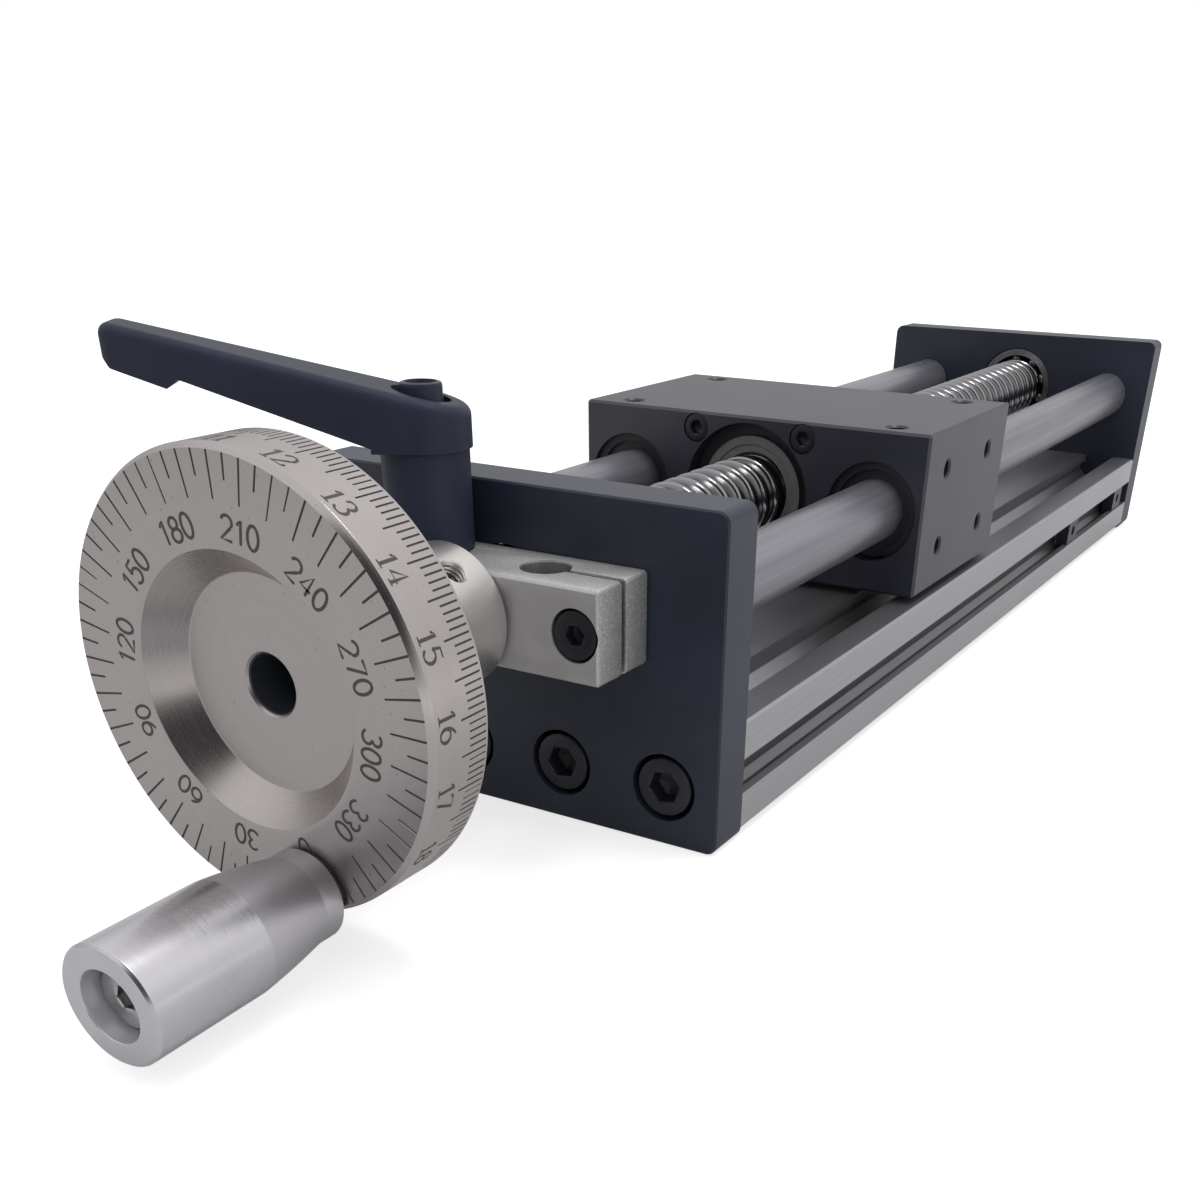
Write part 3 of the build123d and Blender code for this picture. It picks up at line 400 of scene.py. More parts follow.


# Darker towards the root of the thread as painted shade in the groove, and duller there
def threadSteel():
    skin = threadSkin
    material, tree, place = startFinish("threadSteel")
    _, y, z = parts(tree, place)
    depth = 1 - fromAxis(y, z).ramp(screwRadius - threadDepth, screwRadius)
    cloud = noise(tree, place, skin["cloud"], 3.0)
    colour = blendColour(tree, depth * 0.9 + (cloud - 0.5) * 0.2, skin["crest"], skin["root"])
    rough = skin["roughness"] + depth * skin["rootRough"] + (cloud - 0.5) * 0.10
    return endFinish(material, colour, rough, 1.0, cloud, skin["relief"])


steelSkin = {"cloud": 3.0 * mm, "grain": 0.6 * mm, "spread": 0.12, "relief": 0.01 * mm}


def plainSteel(name, tint, roughness):
    material, tree, place = startFinish(name)
    cloud = noise(tree, place, steelSkin["cloud"], 3.0)
    fine = noise(tree, place, steelSkin["grain"])
    colour = blendColour(tree, cloud, *shades(tint, 0.8, 1.2))
    rough = roughness + (cloud - 0.5) * steelSkin["spread"]
    return endFinish(material, colour, rough, 1.0, fine, steelSkin["relief"])


# Distance of a point from the screw's axis
def fromAxis(y, z):
    return (y ** 2 + (z - axisHeight) ** 2) ** 0.5


wheelSkin = {
    "rings": 0.22 * mm, "bands": 2.2 * mm, "cloud": 8.0 * mm, "pit": 0.45 * mm,
    "pitLevels": (0.73, 0.78), "pitColour": (0.16, 0.15, 0.145),
    "tones": ((0.410, 0.381, 0.376), (0.490, 0.457, 0.452)), "roughness": 0.34, "relief": 0.012 * mm,
    "hub": (11.5 * mm, 13.0 * mm),  # behind the face
    "hubHighlightColour": (0.66, 0.635, 0.62), "hubRough": 0.08, "boreRadius": 4.2 * mm,
    "boreShadeColour": (0.030, 0.034, 0.042),
    "bevel": (0.75 * mm, 0.95 * mm),  # inside the rim, behind the face
    "bevelGloss": 0.13, "coneRadii": (14.7 * mm, 18.55 * mm), "coneDepths": (0.1 * mm, 4.85 * mm),
    "coneGloss": 0.08,
}


# Satin metal with fine rings about the wheel's axis, as the lathe leaves them
def turnedSatin():
    skin = wheelSkin
    material, tree, place = startFinish("turnedSatin")
    x, y, z = parts(tree, place)
    behind, radius = x - wheelLow[0], fromAxis(y, z)
    lathe = addNode(tree, "ShaderNodeCombineXYZ", {}, x, radius, 0.0)[0]
    rings = noise(tree, lathe, (skin["rings"], skin["rings"], 1.0), 3.0, 0.6)
    bands = noise(tree, lathe, (skin["bands"], skin["bands"], 1.0))
    cloud = noise(tree, place, skin["cloud"], 3.0)
    pits = noise(tree, place, skin["pit"], 1.0).ramp(*skin["pitLevels"])
    onHub = behind.ramp(*skin["hub"])
    inBore = radius < skin["boreRadius"]
    bevel = (radius > wheelRadius - skin["bevel"][0]) * (behind < skin["bevel"][1])
    cone = radius.within(*skin["coneRadii"]) * behind.within(*skin["coneDepths"])
    colour = blendColour(tree, cloud * 0.5 + bands * 0.5, *skin["tones"])
    # Painted highlight: the hub is lightened for the broad soft highlight on it
    colour = blendColour(tree, onHub, colour, skin["hubHighlightColour"])
    colour = blendColour(tree, pits * 0.6, colour, skin["pitColour"])
    # Painted shade: the bore is dark and not metal, for the shade inside it
    colour = blendColour(tree, inBore, colour, skin["boreShadeColour"])
    rough = skin["roughness"] + onHub * skin["hubRough"] - bevel * skin["bevelGloss"]
    rough = rough - cone * skin["coneGloss"] + (cloud - 0.5) * 0.12 + (rings - 0.5) * 0.14
    return endFinish(material, colour, rough, 1.0 - inBore, rings - pits * 0.6, skin["relief"])


gripSkin = {
    "patch": (4.0 * mm, 3.5 * mm, 3.5 * mm), "fine": (0.22 * mm, 8.0 * mm, 8.0 * mm),
    "cloud": (10.0 * mm, 4.0 * mm, 4.0 * mm), "tones": ((0.570, 0.555, 0.590), (0.670, 0.655, 0.690)),
    "markColour": (0.460, 0.447, 0.480), "roughness": 0.24, "relief": 0.014 * mm,
    "feed": 0.36 * mm,  # of the tool, each turn
    "worked": (5.0 * mm, 13.0 * mm),  # where its marks begin, from the grip's end
    "waist": (18.8 * mm, 19.2 * mm), "waistRough": 0.16, "sinkRadii": (5.0 * mm, 5.1 * mm),
    "sinkDepth": 6.5 * mm,
}


# Bright turned metal of the grip: even feed marks on its swell, softer towards the waist
def turnedGrip():
    skin = gripSkin
    material, tree, place = startFinish("turnedGrip")
    x, y, z = parts(tree, place)
    patch = noise(tree, place, skin["patch"])
    fine = noise(tree, place, skin["fine"], 2.0, 0.6)
    cloud = noise(tree, place, skin["cloud"], 3.0)
    feed = (x * (2 * pi / skin["feed"]) + patch * 0.8).sine() * 0.5 + 0.5
    along = x - gripLow[0]
    waist, worked = along.ramp(*skin["waist"]), along.ramp(*skin["worked"])
    radius = ((y - gripCentre[1]) ** 2 + (z - gripCentre[2]) ** 2) ** 0.5
    sunkWall = (1 - radius.ramp(*skin["sinkRadii"])) * (along < skin["sinkDepth"])
    marks = feed * worked * patch.ramp(0.30, 0.70) * (1 - waist * 0.7)
    colour = blendColour(tree, cloud, *skin["tones"])
    colour = blendColour(tree, waist * 0.3 + marks * 0.3, colour, skin["markColour"])
    rough = skin["roughness"] + waist * skin["waistRough"] + worked * 0.04
    rough = rough + (cloud - 0.5) * 0.10 + (fine - 0.5) * 0.10
    return endFinish(material, colour, rough, 1.0 - sunkWall * 0.7, marks * 0.45 + fine * 0.5, skin["relief"])


blockSkin = {
    "grain": 0.32 * mm, "glitter": 0.22 * mm, "glitterLevels": (0.50, 0.72),
    "glintColour": (0.90, 0.89, 0.90), "cloud": 6.0 * mm,
    "tones": ((0.300, 0.294, 0.297), (0.720, 0.710, 0.715)), "endColour": (0.20, 0.198, 0.206),
    "innerShadeColour": (0.10, 0.098, 0.10), "roughness": 0.50, "metallic": 0.6, "relief": 0.06 * mm,
    "face": (0.10 * mm, 0.40 * mm),  # where the front and end faces fade out
    "skin": 0.35 * mm,  # deeper than this is inside a bore or slit
}


# Blasted aluminium: grainy above and at the end, milled smoother in front, with painted glints on its grain
# and painted shade in its bores and slits
def blastedAluminium():
    skin = blockSkin
    material, tree, place = startFinish("blastedAluminium")
    x, y, z = parts(tree, place)
    grain = noise(tree, place, skin["grain"], 3.0, 0.7)
    glitter = noise(tree, place, skin["glitter"], 1.0).ramp(*skin["glitterLevels"])
    cloud = noise(tree, place, skin["cloud"], 3.0)
    front = 1 - (x - blockLow[0]).ramp(*skin["face"])
    end = 1 - (y - blockLow[1]).ramp(*skin["face"])
    rough = 1 - front * 0.8
    inner = 1.0
    for wire, low, high in zip((x, y, z), blockLow + skin["skin"], blockHigh - skin["skin"]):
        inner = wire.within(low, high) * inner
    colour = 0.5 + (grain - 0.5) * rough + (cloud - 0.5) * 0.4
    colour = blendColour(tree, colour, *skin["tones"])
    colour = blendColour(tree, end * (1 - front) * 0.5, colour, skin["endColour"])
    # Painted glints: bright specks for the sparkle of light on the blasted grain
    colour = blendColour(tree, glitter * rough * 0.4, colour, skin["glintColour"])
    # Painted shade inside the bores and slits
    colour = blendColour(tree, inner * 0.75, colour, skin["innerShadeColour"])
    roughness = skin["roughness"] + (grain - 0.5) * 0.2
    return endFinish(material, colour, roughness, skin["metallic"], grain * rough, skin["relief"])


leverSkin = {
    "grain": 0.2 * mm, "cloud": 8.0 * mm, "tones": ((0.0250, 0.0290, 0.0490), (0.0335, 0.0385, 0.0640)),
    "spread": 0.14, "specular": 0.15,
}


def coatedLever(name, roughness):
    material, tree, place = startFinish(name)
    grain = noise(tree, place, leverSkin["grain"], 2.0, 0.6)
    cloud = noise(tree, place, leverSkin["cloud"])
    colour = blendColour(tree, cloud, *leverSkin["tones"])
    rough = roughness + (grain - 0.5) * leverSkin["spread"]
    return endFinish(material, colour, rough, 0.0, grain, relief, leverSkin["specular"])


nutSkin = {
    "cloud": 1.0 * mm, "tones": ((0.150, 0.145, 0.150), (0.200, 0.192, 0.198)),
    "faceShadeColour": (0.030, 0.032, 0.040), "faceRadii": (11.1 * mm, 11.25 * mm),
    "faceDepth": 8.0 * mm,  # into the carriage
    "roughness": 0.50,
}


# The nut's collar and wipers are grey, and its face in the carriage's bore is darkened as painted shade
def nutPlastic():
    skin = nutSkin
    material, tree, place = startFinish("nutCollar")
    x, y, z = parts(tree, place)
    face = fromAxis(y, z).ramp(*skin["faceRadii"]) * (x < carriageLow[0] + skin["faceDepth"])
    cloud = noise(tree, place, skin["cloud"])
    colour = blendColour(tree, cloud, *skin["tones"])
    # Painted shade on the nut's face inside the carriage's bore
    colour = blendColour(tree, face * 0.94, colour, skin["faceShadeColour"])
    return endFinish(material, colour, skin["roughness"] + (cloud - 0.5) * 0.1, 0.0, cloud, relief)


threadDepth = 1.15 * mm
screwRadius = (screwHigh[2] - screwLow[2]) / 2
plateTint, carriageTint = (0.0215, 0.0265, 0.0440), (0.0220, 0.0235, 0.0375)
finishes = {
    "clear_anodised_profile": clearAnodised(),
    "black_anodised_plate": blackAnodised("blackAnodisedPlate", plateTint, 0.40, 0.40),
    "black_anodised_carriage": blackAnodised("blackAnodisedCarriage", carriageTint, 0.38, 0.68),
    "ground_rod": groundRod(),
    "ground_steel": threadSteel(),
    "bearing_steel": plainSteel("bearingSteel", (0.30, 0.30, 0.31), 0.28),
    "stud_steel": plainSteel("studSteel", (0.22, 0.22, 0.23), 0.35),
    "slot_nut_steel": blackOxide("slotNutSteel"),
    "black_oxide_screw": blackOxide("blackOxide"),
    "spring_steel": plainSteel("springSteel", (0.16, 0.16, 0.17), 0.35),
    "blasted_aluminium": blastedAluminium(),
    "satin_wheel": turnedSatin(),
    "turned_grip": turnedGrip(),
    "coated_lever": coatedLever("coatedLever", 0.45),
    "lever_button": coatedLever("leverButton", 0.30),
    "wiper_plastic": sealRubber("wiperPlastic"),
}
engraved = mattFinish(
    "engravedPaint", 0.5 * mm, 2.0, (0.040, 0.034, 0.031), (0.080, 0.070, 0.065), 0.55, 0.2
)
# Bush faces and their rings are near black, and the nut and its wipers one grey
darkSeal = sealRubber("darkSeal")
nutGrey = nutPlastic()
pinSteel = plainSteel("pinSteel", (0.50, 0.49, 0.50), 0.28)
ownFinish = {name: nutGrey for name in ("ball_nut", "front_nut_wiper", "rear_nut_wiper")}
ownFinish.update({name: darkSeal for name in nodes if name.endswith("_bush")}, bush_retaining_rings=darkSeal)
slotOf = {part["node"]: part["material_slot"] for part in frame["record"]["subparts"]}
for name, node in nodes.items():
    node.data.materials.clear()
    node.data.materials.append(ownFinish.get(name, finishes[slotOf[name]]))
print("finishes made:", len(finishes))

# Handwheel: a closed profile round the axis, with the marks sunk into its face and rim, and the hub behind it
wheel = {
    "rimThickness": 11.6 * mm,
    "faceBevel": (0.9 * mm, 0.7 * mm),  # along, across
    "backBevel": 0.4 * mm, "coneMouth": 18.55 * mm, "coneFloor": 14.7 * mm, "coneDepth": 4.9 * mm,
    "hubRadius": 10.95 * mm, "boreRadius": 4.01 * mm, "columns": 240, "hubColumns": 96,
    "zeroAngle": -110.0, "markDepth": 0.12 * mm,
    "markFloor": 0.55,  # the share of a mark's width that is full depth
    "markSlope": 0.06 * mm,  # at both its ends
    "holeAngles": (36.0, 126.0),
    "holeSetback": 6.5 * mm,  # from the hub's end
    "holeRadius": 2.03 * mm, "holeDepth": 6.4 * mm, "countersink": 0.22 * mm, "threaded": 2.2 * mm,
    "threadPitch": 0.7 * mm, "threadRidge": 0.22 * mm,
    "holeReach": 3.6 * mm,  # half the patch of the grid that bends round a hole
}
# Marks start at a radius or behind the face, have a length, and every so many is a long one
faceMarks = {
    "count": 72, "longEvery": 2, "halfWidth": 0.15 * mm, "radius": 27.0 * mm,
    "long": (24.5 * mm, 5.7 * mm), "short": (27.0 * mm, 3.2 * mm),
}
rimMarks = {
    "count": 200, "longEvery": 5, "halfWidth": 0.135 * mm, "radius": wheelRadius,
    "long": (5.9 * mm, 4.95 * mm), "short": (7.5 * mm, 3.35 * mm),
}


# Angles of the grid's columns at the edges and slopes of each mark
def markAngles(marks):
    middles = radians(wheel["zeroAngle"]) + evenAngles(marks["count"])
    floor = wheel["markFloor"]
    sides = np.array([-1.0, -floor, floor, 1.0]) * marks["halfWidth"] / marks["radius"]
    return (middles[:, None] + sides[None, :]).ravel()


# Rows across the marks: at both ends of each slope, and the end that all of them share
def markRows(marks):
    end, slope = sum(marks["long"]), wheel["markSlope"]
    starts = [marks[kind][0] + step for kind in ("long", "short") for step in (0, slope)]
    return sorted([*starts, end - slope]), end


# How deep the surface is sunk at each grid point: full within the floor of a mark, sloping to its edges
def sunk(theta, along, marks):
    zero, halfWidth, slope = radians(wheel["zeroAngle"]), marks["halfWidth"], wheel["markSlope"]
    turn = 2 * pi / marks["count"]
    index = np.round((theta - zero) / turn)
    away = np.abs(theta - zero - index * turn) * marks["radius"]
    across = np.clip((halfWidth - away) / ((1 - wheel["markFloor"]) * halfWidth), 0, 1)
    isLong = (np.mod(index, marks["longEvery"]) == 0)[None, :]
    start = np.where(isLong, marks["long"][0], marks["short"][0])
    within = np.clip((along[:, None] - start) / slope, 0, 1)
    return across[None, :] * within * np.clip((sum(marks["long"]) - along[:, None]) / slope, 0, 1)


# Rings of one tapped hole from its middle outwards: radius, depth, and share of the square they bend back to
def holeRings():
    radius, ridge, pitch = wheel["holeRadius"], wheel["threadRidge"], wheel["threadPitch"]
    floor = np.linspace(0, radius - ridge, 4)
    depth = np.linspace(wheel["threaded"], wheel["countersink"], 16)
    crest = radius - ridge * (0.5 + 0.5 * np.cos(2 * pi * depth / pitch))
    around = np.linspace(radius + wheel["countersink"], wheel["holeReach"], 7)
    radii = np.concatenate([floor, crest, around])
    depths = np.concatenate([0 * floor + wheel["holeDepth"], depth, 0 * around])
    shares = np.concatenate([0 * floor, 0 * depth, np.linspace(0, 1, 7)])
    return radii, depths, shares


# The hub's rows and columns crowd round each hole. There ring k of squares turns into a circle: with (a, b)
# on the square, (a sqrt(1 - b b / 2), b sqrt(1 - a a / 2)) is on the circle, and share blends the two
def makeHubGrid(rimBack):
    back, radius, bore = wheelHigh[0], wheel["hubRadius"], wheel["boreRadius"]
    radii, depths, shares = holeRings()
    last = len(radii) - 1
    steps = np.arange(-last, last + 1)
    lines = steps * wheel["holeReach"] / last
    middle = back - wheel["holeSetback"]
    sunkBack, fillet, bevel = rimBack - 0.4 * mm, 1.0 * mm, 0.4 * mm
    foot = np.array([(rimBack, bore), (sunkBack, bore + 0.3 * mm), (sunkBack, radius + fillet)])
    corners = [(rimBack, radius + fillet + 0.01 * mm), (rimBack, radius)]
    root = rounded([*corners, (rimBack + fillet + 0.2 * mm, radius)], fillet, 6)
    corners = [(back - 2 * bevel, radius), (back - bevel, radius), (back, radius - bevel)]
    corners += [(back, bore + bevel / 2), (back - bevel / 2, bore)]
    tail = rounded(corners, [0, 0.12 * mm, 0.12 * mm, 0.1 * mm, 0], 3)
    rows = np.stack([middle + lines, np.full(len(lines), radius)], -1)
    profile = np.concatenate([foot, root, rows, tail])
    firstRow = len(foot) + len(root)
    turns = [radians(angle) for angle in wheel["holeAngles"]]
    plain = evenAngles(wheel["hubColumns"])
    margin = (wheel["holeReach"] + 0.2 * mm) / radius
    clear = np.all([np.abs(plain - turn) > margin for turn in turns], axis=0)
    theta = np.sort(np.concatenate([plain[clear]] + [turn + lines / radius for turn in turns]))
    grid = turned(profile, screwAxis, theta)
    ring = np.maximum(np.abs(steps)[:, None], np.abs(steps)[None, :])
    a = steps[:, None] / np.maximum(ring, 1)
    b = steps[None, :] / np.maximum(ring, 1)
    share, size = shares[ring], ring * wheel["holeReach"] / last
    along = (1 - share) * radii[ring] * a * np.sqrt(1 - b ** 2 / 2) + share * size * a
    arc = ((1 - share) * radii[ring] * b * np.sqrt(1 - a ** 2 / 2) + share * size * b) / radius
    height, sideways = radius * np.cos(arc) - depths[ring], radius * np.sin(arc)
    for turn in turns:
        firstColumn = np.searchsorted(theta, turn + lines[0] / radius - 1e-9)
        patch = grid[firstRow:firstRow + len(lines), firstColumn:firstColumn + len(lines)]
        patch[..., 0] = middle + along
        patch[..., 1] = height * cos(turn) - sideways * sin(turn)
        patch[..., 2] = axisHeight + height * sin(turn) + sideways * cos(turn)
    return grid


def makeWheel():
    front, bore, mouth = wheelLow[0], wheel["boreRadius"], wheel["coneMouth"]
    rimBack, floor = front + wheel["rimThickness"], front + wheel["coneDepth"]
    bevelAlong, bevelAcross = wheel["faceBevel"]
    backBevel, chamfer = wheel["backBevel"], 0.5 * mm
    corners = [(rimBack, bore), (floor + chamfer, bore), (floor, bore + chamfer)]
    corners += [(floor, wheel["coneFloor"]), (front, mouth), (front, mouth + 1.0 * mm)]
    inner = rounded(corners, [0, 0.12 * mm, 0.12 * mm, 0.35 * mm, 0.15 * mm, 0], 3)
    faceStops, faceEnd = markRows(faceMarks)
    rimStops, rimEnd = markRows(rimMarks)
    faceRows = np.array([[front, stop] for stop in faceStops])
    rimRows = np.array([[front + stop, wheelRadius] for stop in [*rimStops, rimEnd]])
    corners = [(front, faceEnd - wheel["markSlope"] / 2), (front, wheelRadius - bevelAcross)]
    corners += [(front + bevelAlong, wheelRadius), (front + bevelAlong + 0.4 * mm, wheelRadius)]
    bevel = rounded(corners, [0, 0.12 * mm, 0.12 * mm, 0], 3)
    corners = [(rimBack - backBevel - 0.15 * mm, wheelRadius), (rimBack - backBevel, wheelRadius)]
    corners += [(rimBack, wheelRadius - backBevel), (rimBack, wheel["hubRadius"])]
    outer = rounded(corners, [0, 0.08 * mm, 0.12 * mm, 0])
    profile = np.concatenate([inner, faceRows, bevel, rimRows, outer])
    theta = np.concatenate([evenAngles(wheel["columns"]), markAngles(faceMarks), markAngles(rimMarks)])
    theta = np.unique(np.round(np.mod(theta, 2 * pi), 5))
    grid = turned(profile, screwAxis, theta)
    onFace = (np.abs(profile[:, 0] - front) < 1e-9) & (profile[:, 1] > mouth + chamfer)
    onRim = (profile[:, 1] > wheelRadius - 1e-9) & (profile[:, 0] > front + bevelAlong + 0.3 * mm)
    faceDepth = onFace[:, None] * sunk(theta, profile[:, 1], faceMarks)
    rimDepth = onRim[:, None] * sunk(theta, profile[:, 0] - front, rimMarks)
    grid[..., 0] += faceDepth * wheel["markDepth"]
    grid[..., 1] -= np.cos(theta) * rimDepth * wheel["markDepth"]
    grid[..., 2] -= np.sin(theta) * rimDepth * wheel["markDepth"]
    depth = np.maximum(faceDepth, rimDepth)
    nextRow, nextColumn = np.roll(depth, -1, 0), np.roll(depth, -1, 1)
    corner = np.stack([depth, nextRow, nextColumn, np.roll(nextRow, -1, 1)])
    hubGrid = makeHubGrid(rimBack)
    plain = np.zeros(hubGrid.shape[0] * hubGrid.shape[1], bool)
    paint = np.concatenate([(corner.mean(0) > 0.3).ravel(), plain])
    makePiece(
        "handwheelBody", [(grid, True, True), (hubGrid, True, True)], "drive", "satin_wheel", "handwheel",
        28.0, [finishes["satin_wheel"], engraved], paint,
    )


makeWheel()
print("handwheel made")

# Strokes of the engraved digits, in a box one unit high: arcs (centre, radii, angles) and lines
digitStrokes = {
    "0": [("arc", 0.27, 0.5, 0.27, 0.5, 90, 450)],
    "1": [("line", 0.10, 0.76, 0.30, 1.0, 0.30, 0.0)],
    "2": [("arc", 0.27, 0.73, 0.27, 0.27, 170, -38), ("line", 0.483, 0.564, 0.0, 0.0, 0.56, 0.0)],
    "3": [("arc", 0.25, 0.76, 0.24, 0.24, 155, -80), ("arc", 0.25, 0.27, 0.28, 0.27, 82, -158)],
    "4": [("line", 0.40, 0.0, 0.40, 1.0, 0.0, 0.30, 0.56, 0.30)],
    "5": [("line", 0.50, 1.0, 0.11, 1.0, 0.06, 0.54), ("arc", 0.25, 0.32, 0.28, 0.33, 135, -150)],
    "6": [("arc", 0.62, 0.36, 0.61, 0.64, 116, 178), ("arc", 0.28, 0.31, 0.27, 0.31, 180, 540)],
    "7": [("line", 0.0, 1.0, 0.55, 1.0, 0.18, 0.0)],
    "8": [("arc", 0.28, 0.76, 0.22, 0.24, 270, 630), ("arc", 0.28, 0.27, 0.27, 0.27, 90, 450)],
    "9": [("arc", -0.06, 0.64, 0.61, 0.64, -64, -2), ("arc", 0.28, 0.69, 0.27, 0.31, 0, 360)],
}
digitWidth, plainWidth = {"1": 0.42}, 0.56
digitShift = {"1": -0.05}
serifs = {
    "1": [("line", 0.10, 0.0, 0.50, 0.0)],
    "2": [("line", 0.56, 0.0, 0.58, 0.16)],
    "3": [("line", 0.03, 0.84, 0.05, 0.78)],
    "4": [("line", 0.24, 0.0, 0.56, 0.0)],
    "5": [("line", 0.02, 0.16, 0.04, 0.10)],
    "7": [("line", 0.0, 1.0, 0.0, 0.84)],
}
faceNumbers = {
    "height": 3.0 * mm,
    "every": 30,  # degrees
    "middle": 21.35 * mm,  # from the axis
    "wide": 1.08, "thick": 0.145, "thin": 0.135, "gap": 0.18, "serifs": False,
}
rimNumbers = {
    "height": 3.15 * mm, "every": 18,
    "middle": 3.35 * mm,  # behind the face
    "wide": 1.0, "thick": 0.15, "thin": 0.07, "gap": 0.20, "serifs": True,
}
numberLift = 0.012 * mm
strokeLift = 0.004 * mm  # strokes that cross lie one over another


# Points along one stroke
def strokePath(stroke):
    if stroke[0] == "arc":
        _, cx, cy, rx, ry, first, last = stroke
        angle = np.radians(np.linspace(first, last, max(6, int(abs(last - first) / 12))))
        return np.stack([cx + rx * np.cos(angle), cy + ry * np.sin(angle)], -1)
    return np.array(stroke[1:]).reshape(-1, 2)


# A stroke as a flat ribbon with round ends: half a width either side of the path, thick where it runs upright
def ribbon(path, thick, thin):
    steps = np.linspace(0, 1, 5)[1:]
    length = np.concatenate([[0], np.cumsum(np.linalg.norm(np.diff(path, axis=0), axis=1))])
    half = thick / 2
    ends = half * (1 - np.cos(steps * pi / 2))
    extra = np.concatenate([[0], ends, length[-1] - ends, [length[-1]]])
    stops = np.unique(np.round(np.concatenate([length, extra]), 6))
    centre = np.stack([np.interp(stops, length, path[:, k]) for k in (0, 1)], -1)
    heading = np.gradient(centre, axis=0)
    heading /= np.linalg.norm(heading, axis=1)[:, None]
    side = np.stack([-heading[:, 1], heading[:, 0]], -1)
    fromEnd = np.minimum(stops - stops[0], stops[-1] - stops)
    closedLoop = np.allclose(path[0], path[-1], atol=1e-6)
    share = np.ones_like(stops) if closedLoop else np.sqrt(1 - np.clip(1 - fromEnd / half, 0, 1) ** 2)
    reach = share * (thin + (thick - thin) * np.abs(heading[:, 1]) ** 1.5) / 2
    return np.stack([centre - side * reach[:, None], centre + side * reach[:, None]], 1)


# Flat layout of a number: ribbons of all its digits, centred on the origin
def numberRibbons(text, size):
    ribbons = []
    cursor = 0.0
    for digit in text:
        for stroke in digitStrokes[digit] + (serifs.get(digit, []) if size["serifs"] else []):
            strip = ribbon(strokePath(stroke) * (size["wide"], 1.0), size["thick"], size["thin"])
            strip[..., 0] += cursor + digitShift.get(digit, 0.0)
            ribbons.append(strip)
        cursor += digitWidth.get(digit, plainWidth) * size["wide"] + size["gap"]
    width = cursor - size["gap"]
    return [(strip - (width / 2, 0.5)) * size["height"] for strip in ribbons]


# Numbers bent onto the face: across the text is the turn of the wheel, up is outwards
def faceNumber(text, turn):
    angle = radians(wheel["zeroAngle"] + turn)
    outward = np.array([0, cos(angle), sin(angle)])
    sideways = np.array([0, -sin(angle), cos(angle)])
    grids = []
    for order, strip in enumerate(numberRibbons(text, faceNumbers)):
        base = np.array([wheelLow[0] - numberLift - strokeLift * order, 0, axisHeight])
        across, up = strip[..., 0][..., None], strip[..., 1][..., None]
        grids.append((base + sideways * across + outward * (faceNumbers["middle"] + up), False, False))
    return grids


# Numbers wrapped round the rim: across the text is the turn of the wheel, up is towards the back
def rimNumber(text, turn):
    middle = radians(wheel["zeroAngle"] + turn)
    grids = []
    for order, strip in enumerate(numberRibbons(text, rimNumbers)):
        angle = middle + strip[..., 0] / wheelRadius
        radius = wheelRadius + numberLift + strokeLift * order
        along = wheelLow[0] + rimNumbers["middle"] + strip[..., 1]
        across, height = radius * np.cos(angle), axisHeight + radius * np.sin(angle)
        grids.append((np.stack([along, across, height], -1), False, False))
    return grids


# The face counts degrees and the rim counts its long numbers
def makeNumbers():
    grids = []
    for turn in range(0, 360, faceNumbers["every"]):
        grids += faceNumber(str(turn), turn)
    for turn in range(0, 360, rimNumbers["every"]):
        grids += rimNumber(str(turn // rimNumbers["every"]), turn)
    makePiece("scaleNumbers", grids, "drive", "satin_wheel", materials=[engraved])


makeNumbers()
print("scale numbers made")

# Ball screw: the track follows the lead, and the ends are plain journals
thread = {
    "lead": 5.0 * mm, "trackRadius": 1.75 * mm, "depth": threadDepth,
    "crown": 0.50 * mm,  # how far the lands round off
    "crownShape": 2.5, "trackRows": 11, "landRows": 7, "columns": 48, "faceGap": 0.4 * mm,
    "shoulderRadius": 6.25 * mm, "journalRadius": 5.0 * mm, "driveRadius": 4.0 * mm,
    "endBevel": 0.5 * mm,
}


